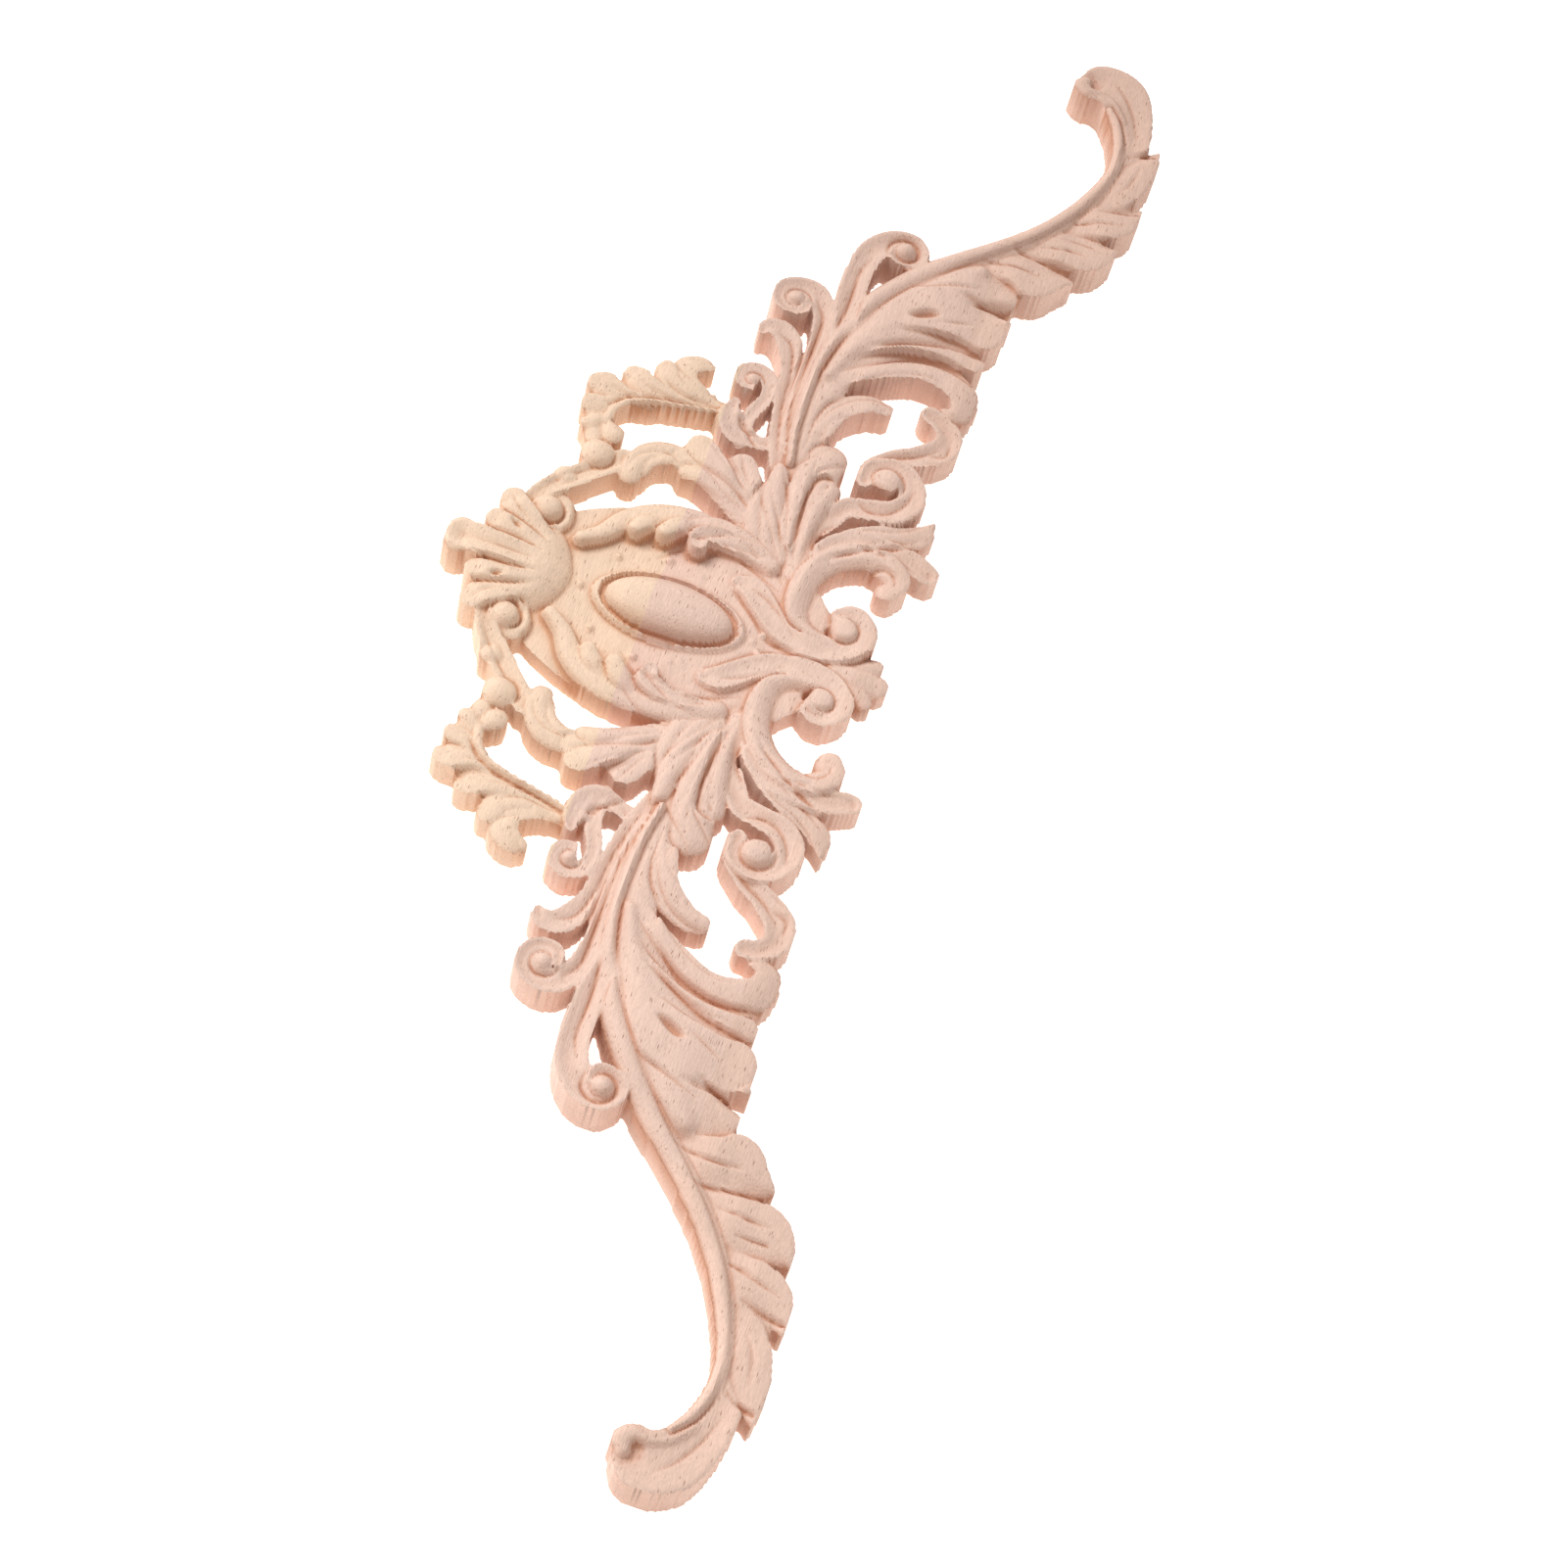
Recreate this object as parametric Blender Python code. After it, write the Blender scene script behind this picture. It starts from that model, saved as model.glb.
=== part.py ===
"""Carved wooden applique: a shield with an oval boss under a fan, and a leafy arm to either side.

Metres, +Z up. The piece lies on its flat back at z = 0 with its long side along X, its fan
towards +Y and its carved face up. The origin is on the back, under the middle of the oval.
The carving is drawn as forms, each a curve with its own width, height and cross section, and
as grooves cut into them. They are laid one over another on one half, which is mirrored, and
the outline is where they end.
"""
import bpy
import numpy as np
from mathutils import Vector
from mathutils.geometry import delaunay_2d_cdt

# Driving dimensions in metres
LENGTH = 0.500  # over both arm ends
THICKNESS = 0.0146  # back to the top of the oval

# The forms are drawn in millimetres, at these sizes
DRAWN_HALF = 249.6
DRAWN_TOP = 14.6

# Mesh controls in drawn millimetres
GRID = 0.8  # spacing of the sampling grid
HALF_WIDTH, LOW_END, HIGH_END = 252.0, -96.0, 70.4
OUTLINE_TOLERANCE = 0.35
SMALLEST_OPENING = 9.0  # openings of less area than this, in square millimetres, are left closed
EDGE_MARGIN = 0.75  # inner points keep this far from the outline
FACE_POINTS = 2400  # points on the carved face inside its outline
CLOSE, APART = 1.05, 8.0  # spacing of those points where the carving bends most and least
SHARPEST = 1.2  # bend of the face between grid points at which they are closest

BARE_WOOD = (0.69, 0.44, 0.31, 1)
ROUGHNESS = 0.75

# Each form is (name, section, drop, fade, places), and a place is (x, y, half-width, height of the face).
# Sections: "round" falls by drop to both edges, "cove" is hollowed by drop along its middle,
# "in" and "out" are tilted, low on the left or on the right of the way the form runs, and "soft" only
# swells what is there. Over the share fade of its length the root of a form rises out of what is below.
# Each groove is (name, section, places), and a place is (x, y, half-width, depth).


# Numbers of the carving functions, lengths in millimetres
STEP = 0.6  # between places along a form
EDGE = 0.7  # width of the slope where a form ends on a lower one
COVE_LIP = 0.35  # how much the rims of a "cove" are rounded, as a share of its drop
TILTED = 0.75  # share of the drop of an "in" or "out" that is its tilt
TILT_POWER = 1.5
WHORL_PLACES = 12


def spline(points):
    """Smooth curve through the places of a form or groove, with a place about every STEP (Catmull-Rom)."""
    p = np.array(points, float)
    if len(p) == 1:
        return np.vstack([p, p + [0.01, 0, 0, 0]])
    q = np.vstack([2 * p[0] - p[1], p, 2 * p[-1] - p[-2]])
    out = []
    for a, b, c, d in zip(q[:-3], q[1:-2], q[2:-1], q[3:]):
        t = np.linspace(0, 1, int(np.hypot(*(c - b)[:2]) / STEP) + 2)[:-1, None]
        bend = (2 * a - 5 * b + 4 * c - d) * t ** 2 + (3 * b - a - 3 * c + d) * t ** 3
        out.append(b + 0.5 * ((c - a) * t + bend))
    return np.vstack(out + [p[-1:]])


def whorl(x, y, inner, outer, start, turn, width, depth):
    """Places of a spiral groove about x, y, from the inner to the outer radius; turns in degrees."""
    share = np.linspace(0, 1, WHORL_PLACES)
    angle = np.radians(start + turn * share)
    radius = inner + (outer - inner) * share
    taper = np.minimum(1, 0.3 + 4 * share * (1 - share))
    across, along = radius * np.cos(angle), radius * np.sin(angle)
    return np.column_stack([x + across, y + along, width * taper, depth * taper])


def nearest(x, y, spine):
    """Which points are near a spine, and five values for each of them.

    They are its distance from the spine and its offset to the right of it, both in half-widths, and the
    half-width, the level and the share of the length at the nearest place on the spine.
    """
    reach = spine[:, 2].max() + 1
    near = np.flatnonzero((x > spine[:, 0].min() - reach) & (x < spine[:, 0].max() + reach)
                          & (y > spine[:, 1].min() - reach) & (y < spine[:, 1].max() + reach))
    px, py = x[near], y[near]
    found = np.full((5, len(near)), 9.0)
    for i, (a, b) in enumerate(zip(spine[:-1], spine[1:])):
        ax, ay = b[:2] - a[:2]
        long = np.hypot(ax, ay) + 1e-9
        t = np.clip(((px - a[0]) * ax + (py - a[1]) * ay) / long ** 2, 0, 1)
        dx, dy = px - a[0] - t * ax, py - a[1] - t * ay
        wide = a[2] + t * (b[2] - a[2])
        away = np.hypot(dx, dy) / wide
        right = (dx * ay - dy * ax) / long / wide
        new = away < found[0]
        level, share = a[3] + t * (b[3] - a[3]), (i + t) / (len(spine) - 1)
        found[:, new] = np.array([away, right, wide, level, share])[:, new]
    return near, found


def smooth(t):
    """Rises from 0 to 1 between 0 and 1 with level ends."""
    t = np.clip(t, 0, 1)
    return t * t * (3 - 2 * t)


def fall(kind, away, right, drop):
    """Height lost across a form, at a distance and an offset to the right in half-widths."""
    if kind in ("round", "soft"):
        return drop * away ** 2
    if kind == "flat":
        return drop * away ** 6
    if kind == "cove":
        return drop * (1 - away ** 2) ** 2 + COVE_LIP * drop * away ** 8
    tilt = np.clip(0.5 + 0.5 * (right if kind == "out" else -right), 0, 1)
    return drop * (TILTED * tilt ** TILT_POWER + (1 - TILTED) * away ** 2)


def lay(x, y, inside, height, form):
    """Lays a leaf, stem or scroll over what is there; its root fades out of it over a share of its length.

    A "soft" form only swells what is there, most along its middle.
    """
    _, kind, drop, fade, points = form
    near, (away, right, wide, level, share) = nearest(x, y, spline(points))
    on = (away < 1) & ((kind != "soft") | (inside[near] > 0))
    near, away, right, wide, level, share = (v[on] for v in (near, away, right, wide, level, share))
    new = level - fall(kind, away, right, drop)
    rise = smooth((1 - away) if kind == "soft" else (1 - away) * wide / EDGE)
    if fade:
        rise = np.minimum(rise, smooth(share / fade))
    rise = np.where(inside[near] > 0, rise, 1)
    height[near] += rise * (new - height[near])
    if kind != "soft":
        inside[near] = np.maximum(inside[near], (1 - away) * wide)


def cut(x, y, inside, height, groove):
    """Cuts a groove: "v" and "u" are even, "left" and "right" are steep there and fade to the other side."""
    _, kind, points = groove
    near, (away, right, wide, depth, _) = nearest(x, y, spline(points))
    if kind == "v":
        part = np.clip(1 - away, 0, 1)
    elif kind == "u":
        part = np.clip(1 - away ** 2, 0, 1) ** 2
    else:
        off = right if kind == "left" else -right
        part = np.where(off >= 0, np.clip(1 - off, 0, 1) ** TILT_POWER, np.clip(1 + off * wide / EDGE, 0, 1))
        part = np.where(away < 1, part, 0)
    height[near] -= depth * part


def dome(x, y, inside, height, oval):
    """Raises a domed oval with a gutter and a ring round it."""
    out = np.hypot(x / oval["rx"], (y - oval["y"]) / oval["ry"])
    ring = np.hypot(x / oval["ring_rx"], (y - oval["y"]) / oval["ring_ry"]) - 1
    ring *= oval["ring_rx"] / oval["ring_width"]
    on_ring, in_gutter, on_dome = np.abs(ring) < 1, (out >= 1) & (ring < 0), out < 1
    crest = oval["ring_z"] - oval["ring_drop"] * ring[on_ring] ** 2
    height[on_ring] = np.maximum(height[on_ring], crest)
    height[in_gutter] = np.minimum(height[in_gutter], oval["gutter"])
    rise = np.maximum(0, 1 - out[on_dome] ** 2) ** (oval["fullness"] / 2)
    height[on_dome] = oval["base"] + (oval["top"] - oval["base"]) * rise



# Ground of the shield and of the fan
GROUND = [
    ("shield", "round", 0.6, 0,
     [(0, 34, 12.6, 7.4), (0, 30, 12.8, 7.2), (0, 26, 18, 7), (0, 22, 24.5, 7), (0, 17, 29.5, 7),
      (0, 10, 33, 7), (0, 3, 35.2, 7), (0, -3, 36, 7.5), (0, -9, 36, 8), (0, -15, 33, 8),
      (0, -21, 28, 8), (0, -26, 18, 7.5), (0, -30, 8, 7), (0, -36, 4, 7)]),
    ("fan", "round", 5, 0, [(0, 40.4, 12.4, 12.6), (5, 41, 11, 12.4), (9.5, 41.6, 8.6, 11.6)]),
]

# Pendant palmette under the shield
PALMETTE = [
    ("palmette side", "round", 1.2, 0, [(1.5, -54, 2.2, 8), (4.8, -58.6, 3, 7.4), (6.2, -60, 2.9, 6.8)]),
    ("palmette", "round", 1.2, 0, [(0, -50, 3, 8.5), (0, -57, 3.8, 8.2), (0, -62, 4, 7)]),
]

# Arm, from its end inwards, so that each lobe lies over the one outside it
ARM = [
    ("arm ground", "round", 1, 0,
     [(60, -20, 4.5, 9), (75, -20.3, 4.5, 10), (88, -20.6, 4.6, 10.5), (100, -23, 5.4, 11),
      (112, -27, 8, 11), (124, -38, 15, 11), (137, -45, 14, 11), (150, -53, 11, 10.5),
      (163, -65, 9.5, 10), (176, -74.5, 8, 9.5), (190, -81, 6.5, 9.5), (202, -84, 5.8, 9.5),
      (214, -84, 5.2, 9.5)]),
    ("terminal", "cove", 1.4, 0.2,
     [(200, -83, 5, 10.5), (214, -83.8, 5, 10.8), (226, -82.8, 5.6, 11.5), (234.5, -79.4, 7.2, 12),
      (240, -75, 8.6, 12.3), (242.4, -69.8, 7.7, 12), (241.6, -67, 6, 11)]),
    ("terminal curl", "round", 1.6, 0,
     [(229.5, -77.5, 2.2, 12), (234, -73.5, 2.4, 12.6), (236, -69, 2.4, 13), (236, -65, 2.6, 13.2),
      (238.3, -62.6, 3, 13), (240.6, -63.4, 2.4, 12.4)]),
    ("lobe 9", "in", 2.2, 0.4,
     [(194, -79.5, 3.6, 11), (203, -84, 6.2, 11), (212, -87.8, 5.4, 11), (219, -90, 3, 10.6),
      (223.4, -91.6, 0.7, 10)]),
    ("lobe 8", "in", 2.6, 0.4,
     [(181, -72, 3.4, 12), (186.4, -79, 7, 12), (189.6, -85.8, 6.2, 11.6), (194, -90, 2.9, 11),
      (197.8, -91.8, 0.7, 10.4)]),
    ("lobe 7", "in", 2.8, 0.4,
     [(168.5, -63, 3.4, 12.6), (172, -71, 6.6, 12.4), (173.2, -78.6, 7.7, 12), (175.6, -84, 4.8, 11.6),
      (178.6, -87.4, 1.6, 11), (179.8, -88.4, 0.6, 10.5)]),
    ("lobe 6", "in", 3, 0.4,
     [(156, -52, 3.4, 13), (157.6, -60, 6.8, 12.8), (156.6, -66.5, 7.6, 12.4), (158.6, -71.4, 5.2, 12),
      (160.8, -75.8, 3, 11.4), (161.4, -78.4, 1.2, 10.8)]),
    ("lobe 5", "in", 2.4, 0.4,
     [(142, -38.5, 4.4, 13.6), (147.4, -47, 6.4, 13.4), (147.2, -54, 6.6, 12.8), (146.2, -59, 6.4, 12)]),
    ("lobe 4 tip", "round", 0.6, 0, [(133, -57, 5, 12.4), (135.6, -62.6, 2, 12), (137, -65, 0.6, 11.6)]),
    ("lobe 4", "in", 1.4, 0.4,
     [(120, -22, 3.6, 13.4), (127, -32, 7.4, 14.4), (130.5, -42, 9.3, 14.4), (131.6, -51, 8, 13.4),
      (131.3, -57.2, 8, 12)]),
    ("lobe 3", "in", 2.4, 0.35,
     [(104, -20, 2.5, 13), (111, -27, 3.2, 13.4), (116.3, -36, 4, 13.2), (119, -45, 4.3, 12.6),
      (119.8, -53, 4.3, 11.8), (119.4, -58.2, 4.2, 10.8)]),
    ("lobe 2", "in", 3, 0.3,
     [(92, -19, 3, 12.6), (100, -25.5, 4.4, 12.8), (105.6, -33, 4.8, 12.4), (109.4, -40, 5, 11.8),
      (111.1, -47, 5, 11.4), (110.2, -54, 5.5, 11), (106.6, -58.9, 4.9, 10.6), (101, -59.9, 3.7, 10.2),
      (98.2, -57.4, 2.6, 10), (98.6, -55, 1.6, 9.8)]),
    ("lobe 1", "in", 2.4, 0.35,
     [(70, -21, 3.4, 11.8), (78, -23.4, 4, 11.8), (84.4, -25.2, 4.2, 11.6), (89.2, -29, 4.3, 11.2),
      (92.3, -34, 3.7, 10.8), (92.6, -38.2, 3.1, 10)]),
    ("arm rim", "round", 3.2, 0,
     [(62, -18, 1.5, 11.6), (75, -16, 1.7, 12), (95, -15.6, 2, 12.4), (108, -17.4, 2.6, 13),
      (118, -20.6, 3.2, 13.6), (128, -25, 3.6, 13.9), (137, -30.6, 3.8, 13.9), (145, -36.5, 3.9, 13.6),
      (152.5, -43.3, 3.9, 13.2), (160, -51, 3.8, 13), (168, -58.6, 3.7, 12.6), (177, -66, 3.6, 12.2),
      (187, -72.2, 3.4, 11.9), (198, -77, 3, 11.7), (209, -80, 2.6, 11.6), (219, -79.6, 2.4, 12),
      (227, -76.8, 2.2, 12.4), (232, -73.2, 1.7, 12.6)]),
    ("swell", "soft", 0.8, 0,
     [(96, -19.5, 3, 12.4), (106, -23, 5, 13), (114, -27, 8, 13.6), (122, -32.5, 11, 14.2),
      (130, -38.5, 13, 14.6), (138, -43.5, 12, 14.4), (146, -48, 8, 13.8), (152, -52, 4, 13.4)]),
]
ARM_CUTS = [
    ("trough 1", "right",
     [(99, -23, 1.2, 0.3), (105, -30, 2, 1.2), (110.5, -38, 2.8, 2), (113.4, -46, 3, 2.4),
      (113.6, -53, 2.8, 2), (112, -60, 2, 1.2)]),
    ("trough 2", "right",
     [(105, -24, 1.2, 0.3), (111, -30.5, 2, 1), (116, -38, 2.6, 1.8), (119.6, -46, 2.8, 2.2),
      (121.2, -53, 2.6, 2), (122, -61, 2, 1.4)]),
    ("pit", "u",
     [(125.6, -36.6, 1.2, 1), (126.8, -39, 1.9, 2.2), (128.4, -42, 1.9, 2.2), (128.8, -44, 1.1, 1)]),
    ("rim line", "left",
     [(96, -17.6, 0.9, 0.6), (108, -19.6, 1, 0.7), (120, -23.6, 1, 0.6), (137, -33.8, 1.2, 0.5),
      (149, -43.6, 1.6, 0.8), (157, -50.8, 1.8, 1), (165, -58.2, 1.8, 1.1), (173.4, -65.4, 1.7, 1.1),
      (186.4, -73.8, 1.5, 1), (198, -78.4, 1.3, 0.9), (208, -81, 1, 0.6)]),
    ("notch 4", "right",
     [(138, -52, 1, 0.5), (139.4, -56, 2.2, 2.4), (140.4, -60, 3.4, 4.6), (141, -64, 4.2, 6),
      (141.4, -68, 4.6, 6.4)]),
    ("root line 1", "v",
     [(59.4, -17, 0.61, 0.36), (71.6, -14.6, 0.8, 0.9), (83.5, -13.3, 0.8, 0.9),
      (94.4, -13.9, 0.61, 0.36)]),
    ("lobe 1 vein", "v",
     [(69.3, -20.4, 0.53, 0.28), (79, -20.6, 0.7, 0.7), (86.7, -22.9, 0.7, 0.7),
      (91.9, -28.2, 0.53, 0.28)]),
    ("lobe 1 vein 2", "v",
     [(71.3, -22.8, 0.46, 0.2), (78.2, -24.2, 0.6, 0.5), (83.3, -28.4, 0.6, 0.5),
      (85.1, -34.6, 0.46, 0.2)]),
    ("lobe 1 line", "v",
     [(76.7, -20.8, 0.61, 0.36), (85.7, -24.6, 0.8, 0.9), (91.7, -29.6, 0.8, 0.9),
      (94.3, -35.1, 0.8, 0.9), (94.3, -39.2, 0.61, 0.36)]),
    ("lobe 2 line", "v",
     [(91.8, -25.5, 0.53, 0.28), (100.2, -32.2, 0.7, 0.7), (105.3, -39.2, 0.7, 0.7),
      (107.8, -46.8, 0.7, 0.7), (107.3, -52, 0.53, 0.28)]),
    ("lobe 2 line 2", "v",
     [(101.9, -28, 0.53, 0.32), (108.7, -34.8, 0.7, 0.8), (113.7, -41.8, 0.7, 0.8),
      (114.6, -47.5, 0.53, 0.32)]),
    ("vein 5", "v",
     [(136.8, -34.3, 0.61, 0.4), (139.9, -40.5, 0.8, 1), (142.2, -46.3, 0.8, 1),
      (144.4, -52.9, 0.61, 0.4)]),
    ("vein 4", "v",
     [(125.6, -43.4, 0.53, 0.32), (128.2, -48.7, 0.7, 0.8), (129.8, -52.1, 0.7, 0.8),
      (131.4, -55.6, 0.53, 0.32)]),
    ("vein 6", "v",
     [(157.3, -51.2, 0.61, 0.44), (158.7, -58.3, 0.8, 1.1), (158.9, -64.2, 0.8, 1.1),
      (158.2, -69.4, 0.61, 0.44)]),
    ("edge 6", "right",
     [(166.1, -57.7, 1.365, 0.576), (165.4, -64.7, 1.8, 1.44), (164.4, -71.7, 1.8, 1.44),
      (163.8, -77.4, 1.365, 1.632)]),
    ("vein 7", "v",
     [(170.5, -66.6, 0.61, 0.44), (171.2, -72.2, 0.8, 1.1), (171.8, -76.8, 0.8, 1.1),
      (171.8, -81.1, 0.61, 0.44)]),
    ("edge 7", "right",
     [(176.3, -73.1, 0.795, 0.384), (176.5, -76.8, 1.05, 0.96), (176.5, -81.1, 0.795, 1.088)]),
    ("vein 7b", "v", [(184, -74, 0.53, 0.36), (184.8, -77.1, 0.7, 0.9), (185.6, -80.2, 0.53, 0.36)]),
    ("vein 8", "v", [(184.1, -74.2, 0.61, 0.44), (186.7, -81.1, 0.8, 1.1), (188.9, -88.6, 0.61, 0.44)]),
    ("edge 8", "right",
     [(192.6, -80.4, 1.14, 0.576), (194.1, -85.5, 1.5, 1.44), (195.5, -90.9, 1.14, 1.632)]),
    ("vein 9", "u",
     [(201.2, -83.5, 0.76, 0.28), (205.3, -86.1, 1, 0.7), (209.5, -87.1, 1, 0.7),
      (214.3, -87.7, 0.76, 0.28)]),
    ("edge 9", "right",
     [(217.7, -84.1, 1.365, 0.624), (219.5, -86.9, 1.8, 1.56), (220.5, -90.4, 1.365, 1.768)]),
    ("terminal ridge", "v",
     [(207.8, -80.6, 0.68, 0.32), (214.2, -80.9, 0.9, 0.8), (222.5, -80.3, 0.9, 0.8),
      (229.9, -76.9, 0.9, 0.8), (235.2, -71.2, 0.9, 0.8), (235.2, -67, 0.9, 0.8),
      (233.9, -64.5, 0.68, 0.32)]),
    ("terminal vein", "v",
     [(225.1, -83.8, 0.61, 0.32), (232.9, -80.9, 0.8, 0.8), (239.7, -76.7, 0.8, 0.8),
      (243.5, -72.4, 0.61, 0.32)]),
    ("lobe 3 vein", "v",
     [(110, -27, 0.6, 0.3), (115, -36, 0.8, 0.8), (118.6, -46, 0.8, 0.8), (119.4, -55, 0.6, 0.3)]),
]

# Scrolls along the back of the arm
SCROLLS = [
    ("scroll 3", "cove", 1.5, 0.25,
     [(106, -18, 1.6, 11), (116, -18.4, 3.6, 11.8), (126, -17.8, 4.4, 12.2), (137, -17.6, 4.4, 12.4),
      (145.6, -19.3, 4.6, 12.8), (151.4, -24, 4.5, 13), (152.9, -29.6, 3.9, 13.2),
      (149, -32.9, 3.2, 13.4), (145.6, -30.4, 2.6, 13.6), (146, -26.6, 2.3, 13.8), (149, -25.2, 1.8, 14)]),
    ("scroll 3 eye", "round", 2, 0, [(149.6, -28.6, 3, 14.6)]),
    ("scroll 2", "cove", 1.3, 0.2,
     [(70, -14.3, 1.8, 10), (85, -12.9, 1.9, 10.4), (100, -13, 2.3, 10.8), (110, -13.2, 3, 11),
      (118, -12, 3.5, 11.2), (124, -8.3, 3.8, 11.6), (125.2, -3, 3.2, 11.8), (122.6, 1.2, 2.9, 12),
      (118, 1.5, 2.6, 12.2), (115.3, -1.6, 2.3, 12.4), (116, -5.6, 2, 12.6), (119, -6.9, 1.8, 12.6)]),
    ("scroll 2 eye", "round", 1.8, 0, [(119.8, -3.2, 2.7, 13)]),
    ("hook", "cove", 0.8, 0.25,
     [(60, -15.5, 3, 9), (72, -11.6, 2.8, 9.4), (85, -9.4, 2.6, 9.8), (96, -8.2, 3, 10.2),
      (103, -6, 4, 10.6), (107.2, -2.2, 3.7, 10.8), (106.9, 1.8, 2.8, 11), (104.9, 3.1, 1.5, 10.6)]),
]
SCROLLS_CUTS = [
    ("scroll 3 whorl", "v", whorl(149.4, -28.5, 2.8, 5.8, 100, 400, 0.9, 1.4)),
    ("scroll 3 stem", "v",
     [(104, -16.4, 0.5, 0.3), (114, -17.2, 0.8, 0.9), (126, -18, 0.9, 1.1), (137, -17.8, 0.8, 0.9),
      (143.6, -19.8, 0.5, 0.3)]),
    ("scroll 2 whorl", "v", whorl(119.8, -3.2, 2.5, 4.6, -100, -380, 0.9, 1.4)),
    ("scroll 2 stem", "v",
     [(72, -13.8, 0.6, 0.4), (88, -12.2, 0.9, 1.2), (104, -12.6, 1, 1.4), (116, -12.4, 0.9, 1),
      (122, -9, 0.6, 0.4)]),
    ("hook line", "v",
     [(66, -13.2, 0.6, 0.4), (80, -10.4, 0.9, 1.2), (94, -9.2, 1, 1.4), (103, -6.6, 0.9, 1),
      (106, -2, 0.6, 0.4)]),
    ("hook under", "v",
     [(75, -11.8, 0.6, 0.6), (90, -10.8, 1, 1.8), (100, -10.6, 1.1, 2.2), (108, -9.8, 1, 2)]),
]

# Pierced leaf loop beside the fan
LOOP = [
    ("loop web", "round", 1.4, 0,
     [(49, 37, 3, 9), (54.5, 38.4, 3.4, 8.8), (61, 38.8, 4.6, 8.6), (66.4, 36.6, 5, 8.6),
      (69.8, 31, 5.2, 8.6), (72.4, 24.6, 5.6, 8.6), (73.6, 17.4, 5.2, 8.6), (73.8, 10, 3.6, 8.4),
      (74.4, 3, 3, 8.2)]),
    ("loop lobe 1", "in", 2, 0.4,
     [(74.4, 5, 2.2, 9.2), (75.4, 13, 3.2, 9.8), (79, 19, 3.8, 10.2), (84, 20, 4, 10),
      (87, 16.6, 3.4, 9.6), (87.2, 13.6, 2, 9)]),
    ("loop lobe 2", "in", 2.2, 0.4,
     [(72.8, 9, 2, 9.2), (73.4, 17, 3.2, 10), (76.4, 23.4, 3.8, 10.4), (81, 25, 3.4, 10)]),
    ("loop lobe 3", "in", 2.4, 0.4,
     [(70.8, 15, 2, 9.4), (71.4, 24, 3.2, 10.2), (73.6, 30.4, 4, 10.6), (75, 33.4, 3.2, 10)]),
    ("loop lobe 4", "in", 2.4, 0.4,
     [(67.4, 25, 2, 9.4), (66.6, 33, 3, 10.2), (67.8, 39, 4.4, 10.6), (68, 41.6, 3.8, 10)]),
    ("loop lobe 5", "in", 2, 0.4, [(64.6, 33, 2, 9.4), (61.4, 38, 3, 10), (60.6, 41.2, 3.6, 10)]),
    ("loop lobe 6", "round", 1.4, 0.4, [(58, 36.6, 2, 9), (54.4, 39, 2.8, 9.6), (53.6, 40.6, 2.4, 9.4)]),
    ("loop curl", "round", 1.6, 0.4, [(56, 36, 2.2, 9), (52.2, 32.5, 3.7, 10)]),
    ("loop rim", "round", 0.8, 0,
     [(74.6, 1, 1.2, 9), (72, 7, 1.2, 9.6), (70.2, 14, 1.2, 9.9), (68.8, 20, 1.2, 10),
      (67.4, 26, 1.2, 10), (64.8, 31.6, 1.3, 10), (61, 34.8, 1.5, 9.8), (56.4, 35.8, 1.6, 9.4)]),
]
LOOP_CUTS = [
    ("loop vein 2", "v",
     [(66.1, 27.4, 0.53, 0.28), (66.6, 32.6, 0.7, 0.7), (67.5, 36.7, 0.7, 0.7), (67.3, 40.2, 0.53, 0.28)]),
    ("loop vein 3", "v",
     [(69.7, 17.5, 0.53, 0.28), (70.7, 21.8, 0.7, 0.7), (71.6, 26.9, 0.7, 0.7), (72.5, 30.6, 0.53, 0.28)]),
    ("loop vein 4", "v",
     [(73.6, 6.4, 0.61, 0.36), (73.6, 11.1, 0.8, 0.9), (73.2, 16.3, 0.8, 0.9), (74.6, 21.2, 0.8, 0.9),
      (77, 24.4, 0.61, 0.36)]),
    ("loop vein 5", "v", [(78.3, 15.9, 0.53, 0.28), (80.2, 18.7, 0.7, 0.7), (82.8, 23.1, 0.53, 0.28)]),
    ("loop rim line", "left",
     [(73.6, 5, 0.9, 0.6), (71.8, 12, 1.1, 1), (70.4, 19, 1.2, 1.1), (69, 26, 1.2, 1.1),
      (66.4, 32.2, 1.2, 1.1), (62, 36.4, 1, 0.8)]),
]

# Ribbons between fan, loop and leaves, with their beads
RIBBONS = [
    ("bead ground", "round", 1.2, 0, [(19.5, 41, 7.7, 9.6)]),
    ("ribbon 1", "cove", 1.2, 0,
     [(15, 38.6, 1.6, 10.4), (13.8, 42.6, 2.2, 10.6), (16, 46.2, 2.3, 10.8), (20, 47, 2.4, 10.8),
      (25, 44.3, 3.2, 10.6), (30.5, 40.3, 3.8, 10.2), (35.5, 35.8, 3.8, 9.8), (40.5, 31.3, 3.8, 9.6),
      (44.8, 26.8, 3.6, 9.6)]),
    ("bead", "round", 2.4, 0, [(19.5, 41, 4.3, 12.4)]),
    ("ribbon ball", "round", 2, 0, [(32.8, 40.5, 3.5, 10.6)]),
    ("ribbon 2", "round", 1.6, 0,
     [(40.3, 23.4, 3.5, 10.2), (44.5, 23, 4, 10.2), (49, 20.8, 4.4, 10.2), (51.8, 16.2, 4.3, 10),
      (52, 10, 3.8, 10)]),
    ("ribbon 3", "round", 1, 0.3,
     [(41.5, 20.4, 1.3, 9.4), (46.2, 18.8, 1.8, 10), (49.4, 14.8, 2.1, 10.2), (49.4, 9, 2, 10.2)]),
    ("crossing ball", "round", 2.4, 0, [(43.6, 34.4, 5.2, 11.4)]),
]
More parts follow.
